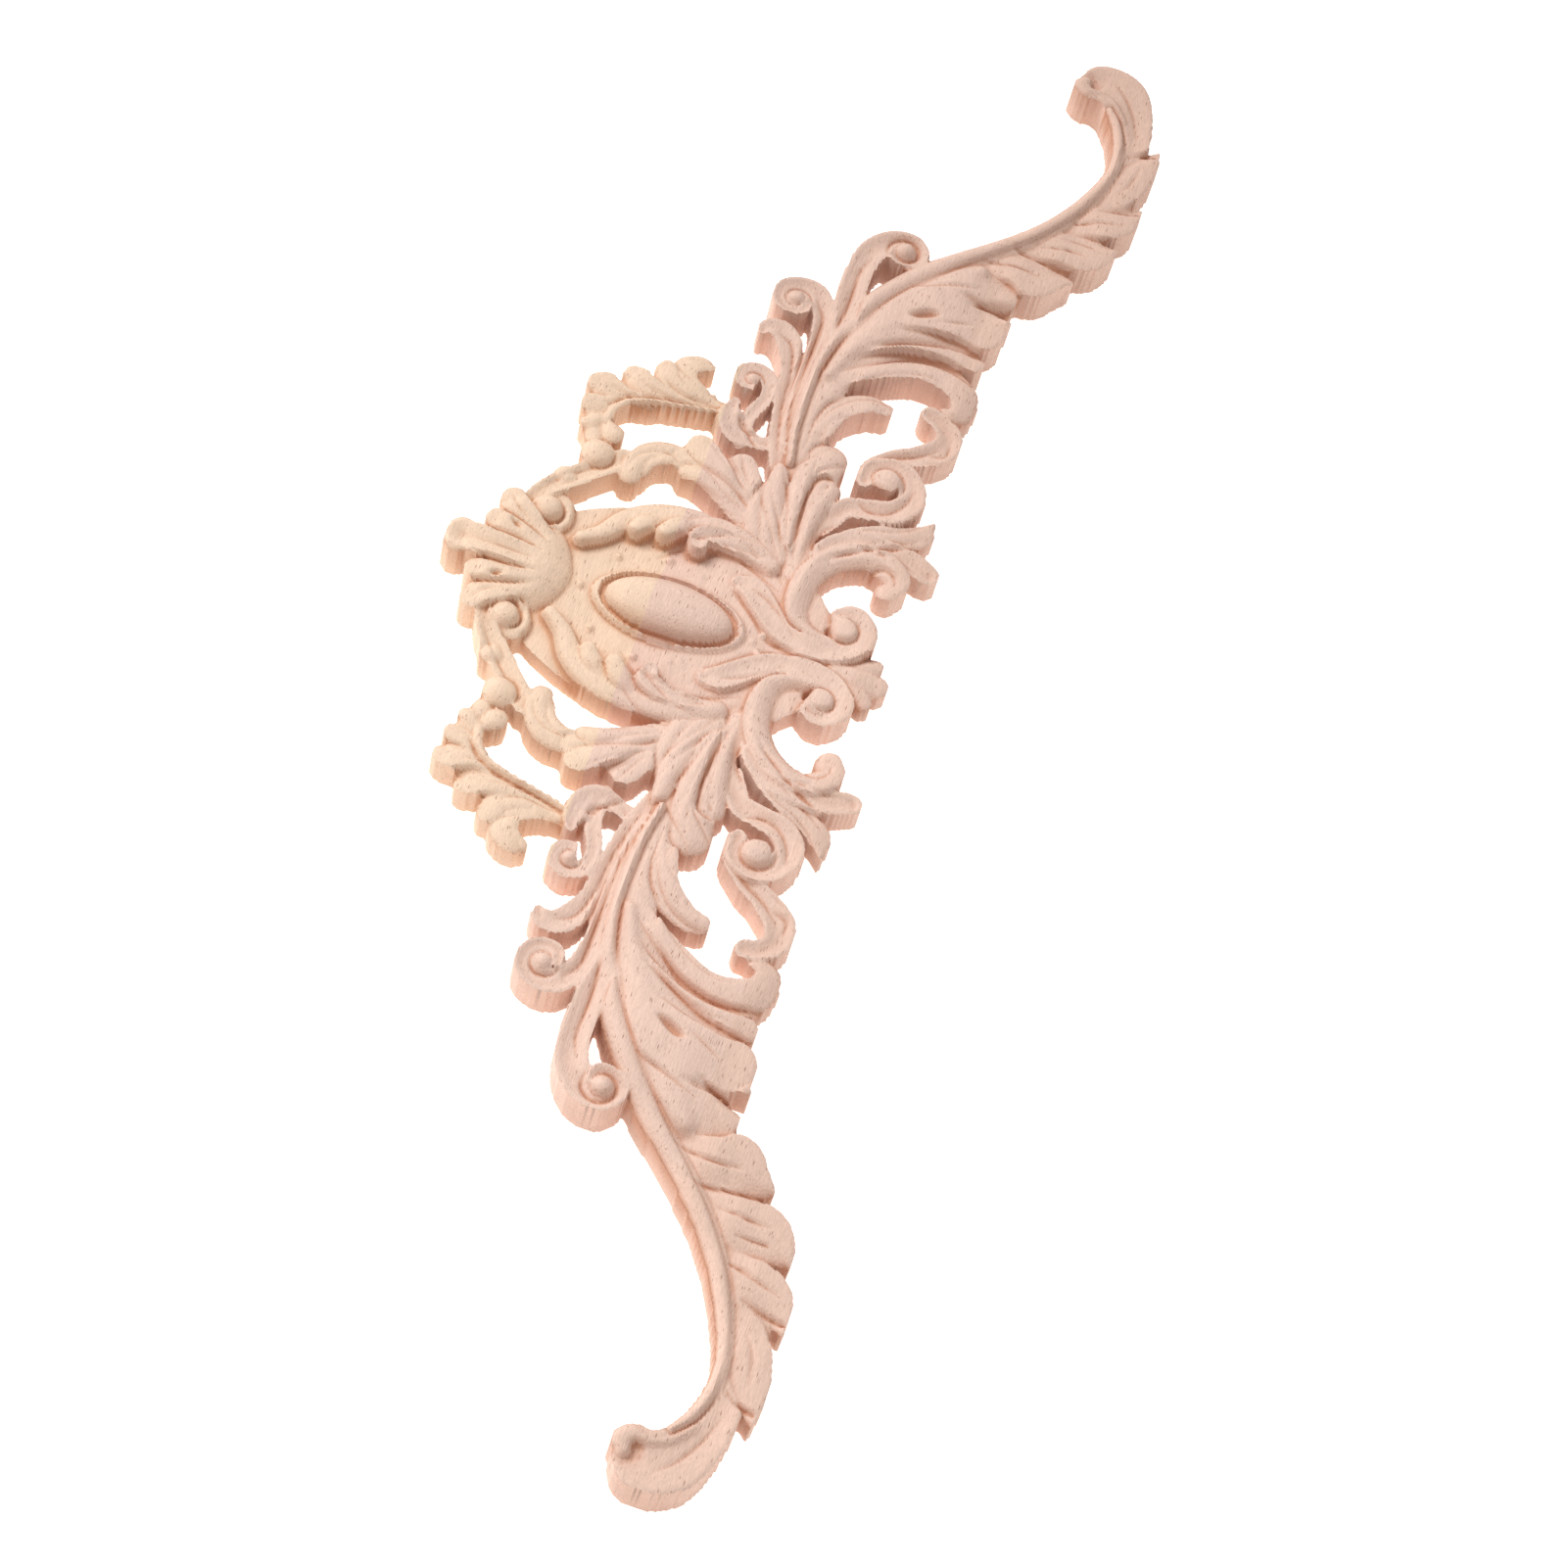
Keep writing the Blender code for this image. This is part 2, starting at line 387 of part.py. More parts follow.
RIBBONS_CUTS = [
    ("bead whorl", "v", whorl(19.5, 41, 4.2, 5.4, 330, -260, 1, 1.6)),
    ("ribbon 1 line", "v",
     [(24, 46, 0.5, 0.2), (30, 42, 0.8, 0.7), (36, 36.6, 0.8, 0.7), (41.6, 31, 0.5, 0.2)]),
    ("crossing line", "v", whorl(43.6, 34.4, 4.6, 5.4, 150, 160, 0.8, 0.8)),
    ("ribbon 2 line", "v",
     [(42, 25, 0.5, 0.3), (47, 23.4, 0.8, 0.8), (50.4, 19, 0.8, 0.8), (51.4, 12, 0.5, 0.3)]),
]

# Small leaf and scroll between loop and arm
SMALL_LEAF = [
    ("small leaf", "cove", 1, 0.2,
     [(68, -12.5, 2.4, 8.6), (66, -6.5, 2.8, 9.4), (66.8, -0.5, 4.6, 10.6), (71.6, 3, 3.8, 11),
      (77, 3.2, 1.8, 10)]),
    ("scroll 1", "cove", 0.8, 0.15,
     [(63, -2.4, 2, 9.6), (68, -1.6, 2.4, 10), (75, -2.6, 2.5, 10), (82, -5, 2.3, 10),
      (88.4, -4, 2.7, 10.2), (90.6, 0, 2.6, 10.4), (88.6, 3.8, 2.5, 10.6), (84.8, 3.6, 2.2, 10.8),
      (83.4, 0.6, 1.8, 11)]),
    ("scroll 1 eye", "round", 1.4, 0, [(86.6, 0.3, 2.1, 11.4)]),
]
SMALL_LEAF_CUTS = [
    ("scroll 1 whorl", "v", whorl(86.6, 0.2, 1.9, 3.4, -150, -330, 0.8, 1.2)),
    ("small leaf fold", "v",
     [(68.5, -9, 0.5, 0.4), (67.8, -4, 0.8, 1), (70, -0.6, 0.8, 1), (75, 1, 0.5, 0.4)]),
    ("small leaf vein", "v",
     [(64.5, -11.6, 0.61, 0.32), (64.5, -7.2, 0.8, 0.8), (68.4, -3, 0.8, 0.8), (71.2, -0.7, 0.8, 0.8),
      (71.7, 2.4, 0.61, 0.32)]),
    ("small leaf vein 2", "v",
     [(67, -4.2, 0.46, 0.24), (72.3, -1.1, 0.6, 0.6), (78, -0.9, 0.6, 0.6), (84.9, -3.4, 0.46, 0.24)]),
]

# Leaf that rises from the middle towards the loop
SIDE_LEAF = [
    ("side leaf", "round", 1, 0,
     [(30, -23, 4, 9), (38, -14.5, 5, 9.4), (45, -7, 6.4, 10), (50, 1, 6.8, 10.4), (52, 7, 5.4, 10.4),
      (52.4, 11, 3.8, 10)]),
    ("side lobe 4", "round", 1, 0.5, [(38, -14, 1.8, 9.8), (42.4, -8, 2, 10), (44.8, -2, 1.9, 9.6)]),
    ("side lobe 3", "round", 1.4, 0.5,
     [(40, -12, 2, 10.4), (45, -3, 3, 11), (47.4, 4.5, 3.2, 11), (47.8, 8.6, 3, 10)]),
    ("side lobe 2", "in", 2.2, 0.5, [(38, -16, 2.4, 10.8), (48, -10, 4, 11.6), (55.4, -5.4, 4.5, 11)]),
    ("side lobe 1", "in", 2.2, 0.5, [(42, -9, 2.4, 11), (51, 0.2, 4, 12.2), (56.4, 7.4, 4.6, 11.4)]),
]
SIDE_LEAF_CUTS = [
    ("side rib", "v",
     [(22.1, -27.4, 0.68, 0.36), (32.2, -21.2, 0.9, 0.9), (39.5, -14.6, 0.9, 0.9),
      (45.5, -6.9, 0.9, 0.9), (49.3, 1.6, 0.9, 0.9), (52, 8.3, 0.68, 0.36)]),
    ("side vein 1", "v",
     [(38.4, -16.4, 0.53, 0.24), (45.4, -11, 0.7, 0.6), (50.2, -4.8, 0.7, 0.6), (55.7, 2, 0.7, 0.6),
      (60.1, 7.1, 0.53, 0.24)]),
    ("side vein 2", "v",
     [(46.3, -11.1, 0.61, 0.32), (51.4, -7.7, 0.8, 0.8), (55.3, -5.8, 0.8, 0.8), (60, -3.7, 0.61, 0.32)]),
    ("side vein 3", "v", [(48.3, -9, 0.46, 0.2), (53.1, -5, 0.6, 0.5), (56.5, -2.1, 0.46, 0.2)]),
    ("side vein 4", "v",
     [(39, -12.6, 0.53, 0.24), (42, -6.6, 0.7, 0.6), (45, -0.5, 0.7, 0.6), (46.9, 5.9, 0.53, 0.24)]),
    ("side vein 5", "v", [(38, -11.5, 0.46, 0.2), (38.7, -5.5, 0.6, 0.5), (40.1, -0.3, 0.46, 0.2)]),
]

# Leaves that fan out from the middle over the arm's root
LEAVES = [
    ("leaf 4", "round", 1.2, 0.4,
     [(27, -20, 2.4, 9.6), (36, -14.6, 2.8, 10.4), (45, -13, 2.6, 10.4), (52, -14, 1.8, 10)]),
    ("stem ground", "round", 1, 0,
     [(27, -30, 3.6, 8.8), (34, -30.4, 3, 8.8), (38, -30.8, 1.8, 8.8), (44, -31.8, 2.6, 9),
      (52, -36.4, 3.6, 9.4)]),
    ("leaf 1", "round", 2.4, 0.4,
     [(24, -26, 3, 9.6), (35, -24.4, 4, 11), (46, -24.4, 5, 12), (58, -26, 6.2, 12),
      (67.7, -27.8, 6.3, 10.6)]),
    ("leaf 3", "round", 1.6, 0.4,
     [(26, -23, 2.4, 10), (38, -19, 3.2, 11.4), (50, -17, 3.6, 11.6), (57.6, -16.4, 2.8, 11),
      (60.8, -15.3, 0.9, 10.4)]),
    ("leaf 2", "round", 2, 0.4,
     [(24, -28.6, 1.8, 9.4), (38, -28.4, 2.8, 10.8), (50, -29.2, 4, 11.4), (57.4, -30.4, 4.5, 10.4)]),
]
LEAVES_CUTS = [
    ("leaf 4 vein", "v",
     [(27.1, -26.3, 0.53, 0.28), (38, -21.7, 0.7, 0.7), (47.1, -16.9, 0.7, 0.7),
      (53.5, -14.5, 0.53, 0.28)]),
    ("leaf 4 edge", "v",
     [(25.4, -26.5, 0.61, 0.32), (35.5, -20.2, 0.8, 0.8), (42.8, -15.7, 0.8, 0.8),
      (49, -12.9, 0.61, 0.32)]),
    ("leaf 3 vein", "v",
     [(27, -27.1, 0.61, 0.36), (38.4, -23.6, 0.8, 0.9), (50, -20.6, 0.8, 0.9), (58.8, -16.9, 0.61, 0.36)]),
    ("leaf 1 vein", "v",
     [(29, -28.1, 0.53, 0.28), (39.3, -26.6, 0.7, 0.7), (51.6, -24.9, 0.7, 0.7), (61, -25.1, 0.7, 0.7),
      (68.9, -25.8, 0.53, 0.28)]),
    ("leaf 1 vein 2", "v",
     [(33.7, -26.4, 0.46, 0.2), (45.8, -24.5, 0.6, 0.5), (56.3, -22.8, 0.6, 0.5),
      (64.4, -21.9, 0.46, 0.2)]),
    ("leaf 2 vein", "v",
     [(27.8, -28.9, 0.53, 0.28), (39.4, -28.1, 0.7, 0.7), (49.4, -27.8, 0.7, 0.7),
      (56.6, -29.4, 0.7, 0.7), (60, -32.9, 0.53, 0.28)]),
    ("leaf 2 edge", "left",
     [(31.1, -28, 1.06, 0.52), (43.3, -26.6, 1.4, 1.3), (54.1, -25.7, 1.4, 1.3),
      (61.1, -26.6, 1.4, 1.3), (67.1, -32.3, 1.06, 0.52)]),
    ("leaf 1 low vein", "v",
     [(59.6, -17.5, 0.53, 0.24), (65.2, -22.1, 0.7, 0.6), (70, -26.3, 0.7, 0.6),
      (73.2, -28.7, 0.53, 0.24)]),
    ("leaf 2 low vein", "v",
     [(47.3, -26.4, 0.53, 0.28), (52.8, -29.5, 0.7, 0.7), (57.3, -30.5, 0.7, 0.7),
      (61.7, -30.1, 0.53, 0.28)]),
]

# Spiral and the s-shaped ribbon that leaves it
SPIRAL = [
    ("s ribbon", "cove", 1.4, 0.15,
     [(64, -38.8, 1.8, 10), (70, -40, 2.6, 10.2), (75.2, -45, 3.2, 10.2), (79.6, -52.4, 3.9, 10),
      (84.6, -58, 4.6, 9.6), (90.6, -59, 3.9, 9.4), (94.6, -55, 3.4, 9.6), (95.6, -51.7, 3.2, 10)]),
    ("spiral", "cove", 1.5, 0.15,
     [(44, -33, 2.6, 9.6), (53, -37.4, 3.7, 10), (55.3, -44, 3.9, 10.2), (57.2, -50.6, 4.3, 10.4),
      (63, -54.4, 4.4, 10.6), (69.6, -52, 3.9, 10.8), (72.4, -46.6, 3.4, 11), (70, -41.2, 3, 11.2),
      (64.4, -40, 2.8, 11.4)]),
    ("spiral eye", "round", 1.2, 0, [(66.6, -46, 4.2, 12.2)]),
]
SPIRAL_CUTS = [
    ("spiral rim", "v",
     [(58.3, -38, 0.61, 0.32), (55.3, -43.4, 0.8, 0.8), (56.6, -49.4, 0.8, 0.8),
      (61.6, -53.3, 0.8, 0.8), (66.8, -54.5, 0.61, 0.32)]),
    ("s ribbon fold", "v",
     [(73.2, -41.3, 0.61, 0.36), (77.2, -47.3, 0.8, 0.9), (80.1, -52.3, 0.8, 0.9),
      (84.6, -57.1, 0.61, 0.36)]),
    ("s ribbon fold 2", "v", [(75.7, -51, 0.61, 0.36), (78.6, -56, 0.8, 0.9), (80.1, -60.3, 0.61, 0.36)]),
    ("s ribbon fold 3", "v", [(81.7, -55.6, 0.68, 0.4), (83.3, -59.6, 0.9, 1), (87.2, -60, 0.68, 0.4)]),
    ("spiral whorl", "v", whorl(66.6, -46, 3.6, 6.4, 200, -430, 0.9, 1)),
]

# C-shaped scroll with its two leaves
C_SCROLL = [
    ("scroll leaf 2", "out", 1.6, 0.2,
     [(37.6, -35, 1.2, 9.6), (44, -41, 2.3, 10.4), (48, -48, 3, 10), (50.2, -55, 3.7, 9),
      (53.2, -60, 3.8, 8.4), (57.4, -62.2, 1.8, 7.8), (60, -63, 0.6, 7.4)]),
    ("scroll leaf 1", "cove", 1, 0.2,
     [(30, -33, 1.8, 10), (37.5, -36.6, 3.4, 10.6), (43, -43, 3.6, 10.6), (44.2, -51, 3.7, 10.2),
      (43.6, -58, 4, 9.4), (41.6, -64, 3.9, 8.8), (40.9, -66.2, 3.3, 8.4)]),
    ("c scroll", "out", 3.8, 0.04,
     [(14.4, -47.8, 1.4, 9.4), (10.8, -48.2, 1.8, 9.8), (9, -44, 2, 10), (9.8, -38.8, 2.6, 10.4),
      (13, -34.9, 3.6, 10.8), (19, -33.5, 4, 11.2), (26, -34.3, 4.1, 11.4), (32.5, -37.4, 4.3, 11.4),
      (37.3, -42.5, 4.3, 11.4), (39.5, -48.5, 4.1, 11.2), (38.7, -54.4, 4.4, 11),
      (34.6, -58, 4.1, 10.6), (31.2, -56.6, 4, 10.2)]),
]
C_SCROLL_CUTS = [
    ("c scroll line", "v",
     [(17.9, -31.1, 0.61, 0.32), (25.1, -31.2, 0.8, 0.8), (32.5, -33.4, 0.8, 0.8),
      (37.9, -37.7, 0.8, 0.8), (41.1, -44.1, 0.8, 0.8), (41.1, -51.5, 0.8, 0.8),
      (38.6, -56.5, 0.61, 0.32)]),
    ("c leaf 1 edge", "right",
     [(34.5, -38.1, 1.22, 0.64), (40.5, -46.2, 1.6, 1.6), (44.4, -53, 1.6, 1.6),
      (47.6, -59.5, 1.22, 0.64)]),
    ("c leaf 1 vein", "v",
     [(30.7, -35.5, 0.61, 0.32), (36.7, -41.5, 0.8, 0.8), (40.5, -49, 0.8, 0.8),
      (41.7, -56.3, 0.8, 0.8), (39.8, -62.8, 0.61, 0.32)]),
    ("c leaf 2 vein", "v",
     [(42.8, -38.5, 0.53, 0.28), (48.3, -45.7, 0.7, 0.7), (50.7, -52, 0.7, 0.7),
      (54.4, -57.3, 0.7, 0.7), (58.8, -60.6, 0.53, 0.28)]),
    ("c leaf 2 ridge", "v",
     [(43.7, -46.5, 0.46, 0.24), (47.2, -52.4, 0.6, 0.6), (49.4, -57.2, 0.6, 0.6),
      (53.8, -62.7, 0.46, 0.24)]),
    ("curl whorl", "v", whorl(33.4, -53.4, 2.6, 4.4, 150, -260, 0.9, 1.2)),
]

# Pendant stem, which ends in a curl over the palmette
STEM = [
    ("pendant stem", "cove", 0.9, 0,
     [(17, -16.8, 3, 9.6), (15.8, -21, 4.4, 10), (10.6, -26.5, 4.4, 9.8), (5.8, -32, 3.8, 9.4),
      (3.9, -38.5, 3.9, 9.4), (4.2, -45, 4.2, 9.6), (7.4, -51, 4.8, 10), (12.6, -53.4, 5, 10.2),
      (17.2, -50.4, 4.2, 10.4), (16.6, -46.6, 3, 10.2)]),
    ("pendant curl", "round", 1.2, 0, [(12.4, -49, 4.2, 11.2), (13.4, -48.4, 4.2, 11.2)]),
]
STEM_CUTS = [
    ("stem vein", "v",
     [(16.1, -20.7, 0.61, 0.36), (14, -25.6, 0.8, 0.9), (10, -31.1, 0.8, 0.9), (5.6, -35.7, 0.61, 0.36)]),
    ("stem vein 2", "v",
     [(13.9, -15.5, 0.53, 0.28), (8.3, -22.2, 0.7, 0.7), (1.9, -29.2, 0.7, 0.7), (1.2, -36.9, 0.7, 0.7),
      (1.1, -44.7, 0.53, 0.28)]),
    ("pendant pit", "u", [(9.6, -45.6, 0.9, 0.8), (11.6, -44.6, 1.5, 2.4), (13.6, -45.4, 0.9, 0.8)]),
    ("pendant whorl", "v", whorl(12.8, -48.8, 3.2, 4.8, 40, -300, 0.9, 1.3)),
]

# Domed oval in its ring: half-widths, heights and how full the dome is
OVAL = {
    "y": -0.7, "rx": 9, "ry": 18.6, "base": 8.2, "top": 14.6, "fullness": 0.9, "ring_rx": 10.5,
    "ring_ry": 20.4, "ring_width": 1, "ring_z": 9.6, "ring_drop": 1.2, "gutter": 7.6,
}

# Border of the shield with its lobes
BORDER = [
    ("border", "round", 1.6, 0,
     [(13.8, 29.6, 2.6, 11), (18, 24.6, 3.2, 10.6), (24, 20.3, 4, 10.4), (28.4, 14.4, 4.6, 10.4),
      (30.8, 7, 4.8, 10.4), (31.6, 0, 4.6, 10.6), (31.6, -8, 4.4, 10.8), (29.6, -15, 4, 10.6),
      (26, -23, 3.2, 10)]),
    ("border lobe 1", "round", 1.4, 0.5, [(27, 8, 2.6, 11), (25, 13.6, 3.2, 12), (21.9, 16, 2.8, 12.4)]),
    ("border lobe 2", "round", 1.4, 0.5, [(29, -2, 2.8, 11.4), (27.6, 4.6, 3.4, 12.4), (23.6, 8, 3, 13)]),
    ("border lobe 3", "cove", 1, 0.4,
     [(25.6, -22, 2.2, 10.6), (27.4, -14, 3, 11.6), (27.8, -7, 3.5, 12.6), (25.8, -2, 3.5, 13.2),
      (22.8, -2, 3, 13.2)]),
]
BORDER_CUTS = [
    ("border leaf vein", "v",
     [(23.7, -0.2, 0.61, 0.36), (25.4, -4.1, 0.8, 0.9), (25.6, -10.9, 0.8, 0.9),
      (22.8, -19.4, 0.8, 0.9), (19.2, -27.3, 0.61, 0.36)]),
    ("border leaf vein 2", "v",
     [(27.4, -1.9, 0.46, 0.24), (30.3, -8.7, 0.6, 0.6), (28.3, -15.3, 0.6, 0.6),
      (23.9, -22.6, 0.46, 0.24)]),
    ("border low vein", "v",
     [(21.4, -4.3, 0.61, 0.36), (25.6, -8.9, 0.8, 0.9), (26.7, -15.9, 0.8, 0.9), (26.4, -20, 0.61, 0.36)]),
    ("border low vein 2", "v",
     [(17.1, 7.5, 0.68, 0.36), (21.5, 3.2, 0.9, 0.9), (25.3, -2.2, 0.9, 0.9), (30.1, -10.3, 0.9, 0.9),
      (31.2, -17.3, 0.68, 0.36)]),
    ("border low vein 3", "v",
     [(25.9, 7.6, 0.53, 0.28), (32.5, 1.3, 0.7, 0.7), (36.6, -5.8, 0.7, 0.7), (36.2, -14, 0.53, 0.28)]),
]

# Petals of the fan
PETALS = [
    ("petal 3", "in", 1.6, 0.5,
     [(8.6, 36, 2, 11), (12.2, 43.2, 3.6, 12.2), (15.6, 48.8, 4.4, 12.6), (17.8, 51, 4.1, 11.8)]),
    ("petal 2", "in", 1.2, 0.5,
     [(4.6, 36, 2, 11.8), (6.8, 44, 3.4, 12.8), (8.4, 50.6, 4.1, 13.2), (9, 52.8, 3.7, 12.6)]),
    ("petal 1 head", "round", 1.4, 0, [(0, 60.8, 4.4, 12.6), (2, 60.8, 4.4, 12.6)]),
    ("petal 1", "cove", 1.2, 0.5,
     [(0, 34, 3, 12.4), (0, 44, 4.4, 13.4), (0, 52, 5, 13.8), (0, 57.4, 5.2, 13.4), (0, 60, 5.4, 12.8)]),
]
PETALS_CUTS = [
    ("fan eye 1", "u", [(10.1, 49.1, 0.91, 0.8), (9.1, 47.5, 1.2, 2), (8.3, 45.9, 0.91, 0.8)]),
    ("petal gap 1", "v", [(3.6, 38, 0.6, 0.4), (4.6, 45, 0.9, 1), (5, 52, 1, 1.4), (5.6, 56.6, 1, 1.6)]),
    ("petal gap 2", "v",
     [(7.4, 37, 0.6, 0.4), (9.6, 43, 0.9, 1), (11.6, 48.6, 1, 1.4), (13, 53.6, 1, 1.6)]),
    ("petal 3 vein", "v", [(11.8, 44, 0.6, 0.4), (15, 48.6, 0.8, 0.9), (19, 51.8, 0.5, 0.3)]),
    ("petal 1 flute", "v",
     [(0, 40, 0.6, 0.3), (0, 48, 0.9, 0.6), (0.2, 56, 0.8, 0.5), (0.4, 61, 0.6, 0.3)]),
]

# Seeds on the ground of the shield
SEEDS = [
    ("seed 1", "round", 0.8, 0, [(0, 25, 1.3, 8.3)]),
    ("seed 2", "round", 0.8, 0, [(13, 18, 1.3, 8.3)]),
    ("seed 3", "round", 0.8, 0, [(17.5, 4, 1.3, 8.3)]),
    ("seed 4", "round", 0.8, 0, [(15.5, -6, 1.3, 8.3)]),
    ("seed 5", "round", 0.8, 0, [(15, -15, 1.3, 8.3)]),
    ("seed 6", "round", 0.8, 0, [(0, -25.5, 1.3, 8.3)]),
    ("seed 7", "round", 0.8, 0, [(3, -27.6, 1.3, 8.3)]),
]

# The work in the order in which it is done
CARVING = [
    (lay, GROUND), (lay, PALMETTE), (lay, ARM), (cut, ARM_CUTS), (lay, SCROLLS), (cut, SCROLLS_CUTS),
    (lay, LOOP), (cut, LOOP_CUTS), (lay, RIBBONS), (cut, RIBBONS_CUTS), (lay, SMALL_LEAF),
    (cut, SMALL_LEAF_CUTS), (lay, SIDE_LEAF), (cut, SIDE_LEAF_CUTS), (lay, LEAVES),
    (cut, LEAVES_CUTS), (lay, SPIRAL), (cut, SPIRAL_CUTS), (lay, C_SCROLL), (cut, C_SCROLL_CUTS),
    (lay, STEM), (cut, STEM_CUTS), (dome, [OVAL]), (lay, BORDER), (cut, BORDER_CUTS), (lay, PETALS),
    (cut, PETALS_CUTS), (lay, SEEDS),
]


def field(x, y):
    """Distance into the outline and height of the face at points of the right half."""
    flat_x, flat_y = x.ravel(), y.ravel()
    inside, height = np.full(flat_x.shape, -HALF_WIDTH), np.zeros(flat_x.shape)
    for step, items in CARVING:
        for item in items:
            step(flat_x, flat_y, inside, height, item)
    return inside.reshape(x.shape), height.reshape(x.shape)


def sample():
    """Grid lines, distance into the outline and height at every grid point, both halves alike."""
    n = int(HALF_WIDTH / GRID)
    xs = np.arange(-n, n + 1) * GRID
    ys = np.arange(LOW_END, HIGH_END, GRID)
    inside, z = field(*np.meshgrid(xs[n:], ys))
    both = [np.hstack([a[:, :0:-1], a]) for a in (inside, z)]
    return xs, ys, both[0], both[1]


def crossing(xs, ys, f, a, b):
    """Place between grid points a and b where f is zero."""
    t = f[a] / (f[a] - f[b])
    return (xs[a[1]] + t * (xs[b[1]] - xs[a[1]]), ys[a[0]] + t * (ys[b[0]] - ys[a[0]]))


def outline_loops(xs, ys, f):
    """Closed curves where f changes sign, found cell by cell and joined end to end."""
    up = f > 0
    mixed = up[:-1, :-1] + 2 * up[:-1, 1:] + 4 * up[1:, 1:] + 8 * up[1:, :-1]
    next_edge = {}
    for j, i in zip(*np.nonzero((mixed > 0) & (mixed < 15))):
        corners = [(j, i), (j, i + 1), (j + 1, i + 1), (j + 1, i)]
        ends = []
        for k in range(4):
            a, b = corners[k], corners[(k + 1) % 4]
            if up[a] != up[b]:
                ends.append((tuple(sorted((a, b))), up[a]))
        if len(ends) == 4 and not ends[0][1]:
            ends = ends[1:] + ends[:1]
        for leave, enter in zip(ends[::2], ends[1::2]):
            if not leave[1]:
                leave, enter = enter, leave
            next_edge[leave[0]] = enter[0]
    loops = []
    while next_edge:
        start, edge = next_edge.popitem()
        loop = [start]
        while edge != start:
            loop.append(edge)
            edge = next_edge.pop(edge)
        loops.append(np.array([crossing(xs, ys, f, a, b) for a, b in loop]))
    return loops


def area(loop):
    """Signed area inside a closed loop."""
    x, y = loop.T
    return 0.5 * np.sum(x * np.roll(y, -1) - y * np.roll(x, -1))


def simplified(line, tolerance):
    """Fewest points of an open line that stay within the tolerance of it."""
    if len(line) < 3:
        return line
    a, b = line[0], line[-1]
    d = (b - a) / max(np.hypot(*(b - a)), 1e-9)
    off = np.abs((line[:, 0] - a[0]) * d[1] - (line[:, 1] - a[1]) * d[0])
    k = int(off.argmax())
    if off[k] < tolerance:
        return np.array([a, b])
    return np.vstack([simplified(line[:k + 1], tolerance)[:-1], simplified(line[k:], tolerance)])


def outline(xs, ys, f):
    """Outline of the whole piece as closed loops, small openings left out."""
    loops = []
    for loop in outline_loops(xs, ys, f):
        if abs(area(loop)) < SMALLEST_OPENING:
            continue
        loop = np.roll(loop, -int(loop[:, 0].argmax()), axis=0)
        k = int(loop[:, 0].argmin())
        there = simplified(loop[:k + 1], OUTLINE_TOLERANCE)
        back = simplified(np.vstack([loop[k:], loop[:1]]), OUTLINE_TOLERANCE)
        loops.append(np.vstack([there[:-1], back[:-1]]))
    return loops


def height_at(xs, ys, f, z, points):
    """Height at each outline point: that of the grid points just inside it."""
    columns = np.rint((points[:, 0] - xs[0]) / GRID).astype(int)
    rows = np.rint((points[:, 1] - ys[0]) / GRID).astype(int)
    total, weights = np.zeros(len(points)), np.full(len(points), 1e-9)
    for row_step in (-1, 0, 1):
        for column_step in (-1, 0, 1):
            near = (rows + row_step, columns + column_step)
            weight = np.clip(f[near], 0, EDGE)
            total += weight * z[near]
            weights += weight
    return total / weights


def bends(f, z):
    """How much the face bends at each grid point: most of the second differences in four directions."""
    face = np.where(f > 0, z, np.nan)
    bend = np.zeros_like(z)
    for step in ((0, 1), (1, 0), (1, 1), (1, -1)):
        both = np.roll(face, step, (0, 1)) + np.roll(face, (-step[0], -step[1]), (0, 1))
        bend = np.fmax(bend, np.abs(both - 2 * face))
    bend[z == z[f > 0].max()] = 2 * SHARPEST
    return bend


def face_points(xs, ys, f, z):
    """Grid points that follow the carving: close together where its face bends, apart where it is even."""
    j, i = np.nonzero((f > EDGE_MARGIN) & (xs > -GRID / 2))
    strength = bends(f, z)[j, i] / SHARPEST
    reach = np.clip(CLOSE / np.maximum(strength, 1e-3) ** 0.5, CLOSE, APART)
    taken, picked = np.zeros(z.shape, bool), []
    for k in np.argsort(-strength, kind="stable"):
        if taken[j[k], i[k]]:
            continue
        n = int(reach[k] / GRID) + 1
        rows = np.arange(max(j[k] - n, 0), min(j[k] + n + 1, len(ys)))
        columns = np.arange(max(i[k] - n, 0), min(i[k] + n + 1, len(xs)))
        gap = np.hypot(*np.meshgrid((columns - i[k]) * GRID, (rows - j[k]) * GRID))
        taken[rows[0]:rows[-1] + 1, columns[0]:columns[-1] + 1] |= gap < reach[k]
        picked.append((xs[i[k]], ys[j[k]], z[j[k], i[k]]))
        if len(picked) == FACE_POINTS // 2:
            break
    right = np.array(picked)
    left = right[right[:, 0] > GRID / 2] * (-1, 1, 1)
    return np.vstack([right, left])


def is_within(points, loops):
    """Even-odd test of points against all the loops together."""
    odd = np.zeros(len(points), bool)
    px, py = points[:, 0], points[:, 1]
    for loop in loops:
        for (ax, ay), (bx, by) in zip(loop, np.roll(loop, -1, axis=0)):
            if ay != by:
                odd ^= ((ay > py) != (by > py)) & (px < ax + (py - ay) / (by - ay) * (bx - ax))
    return odd


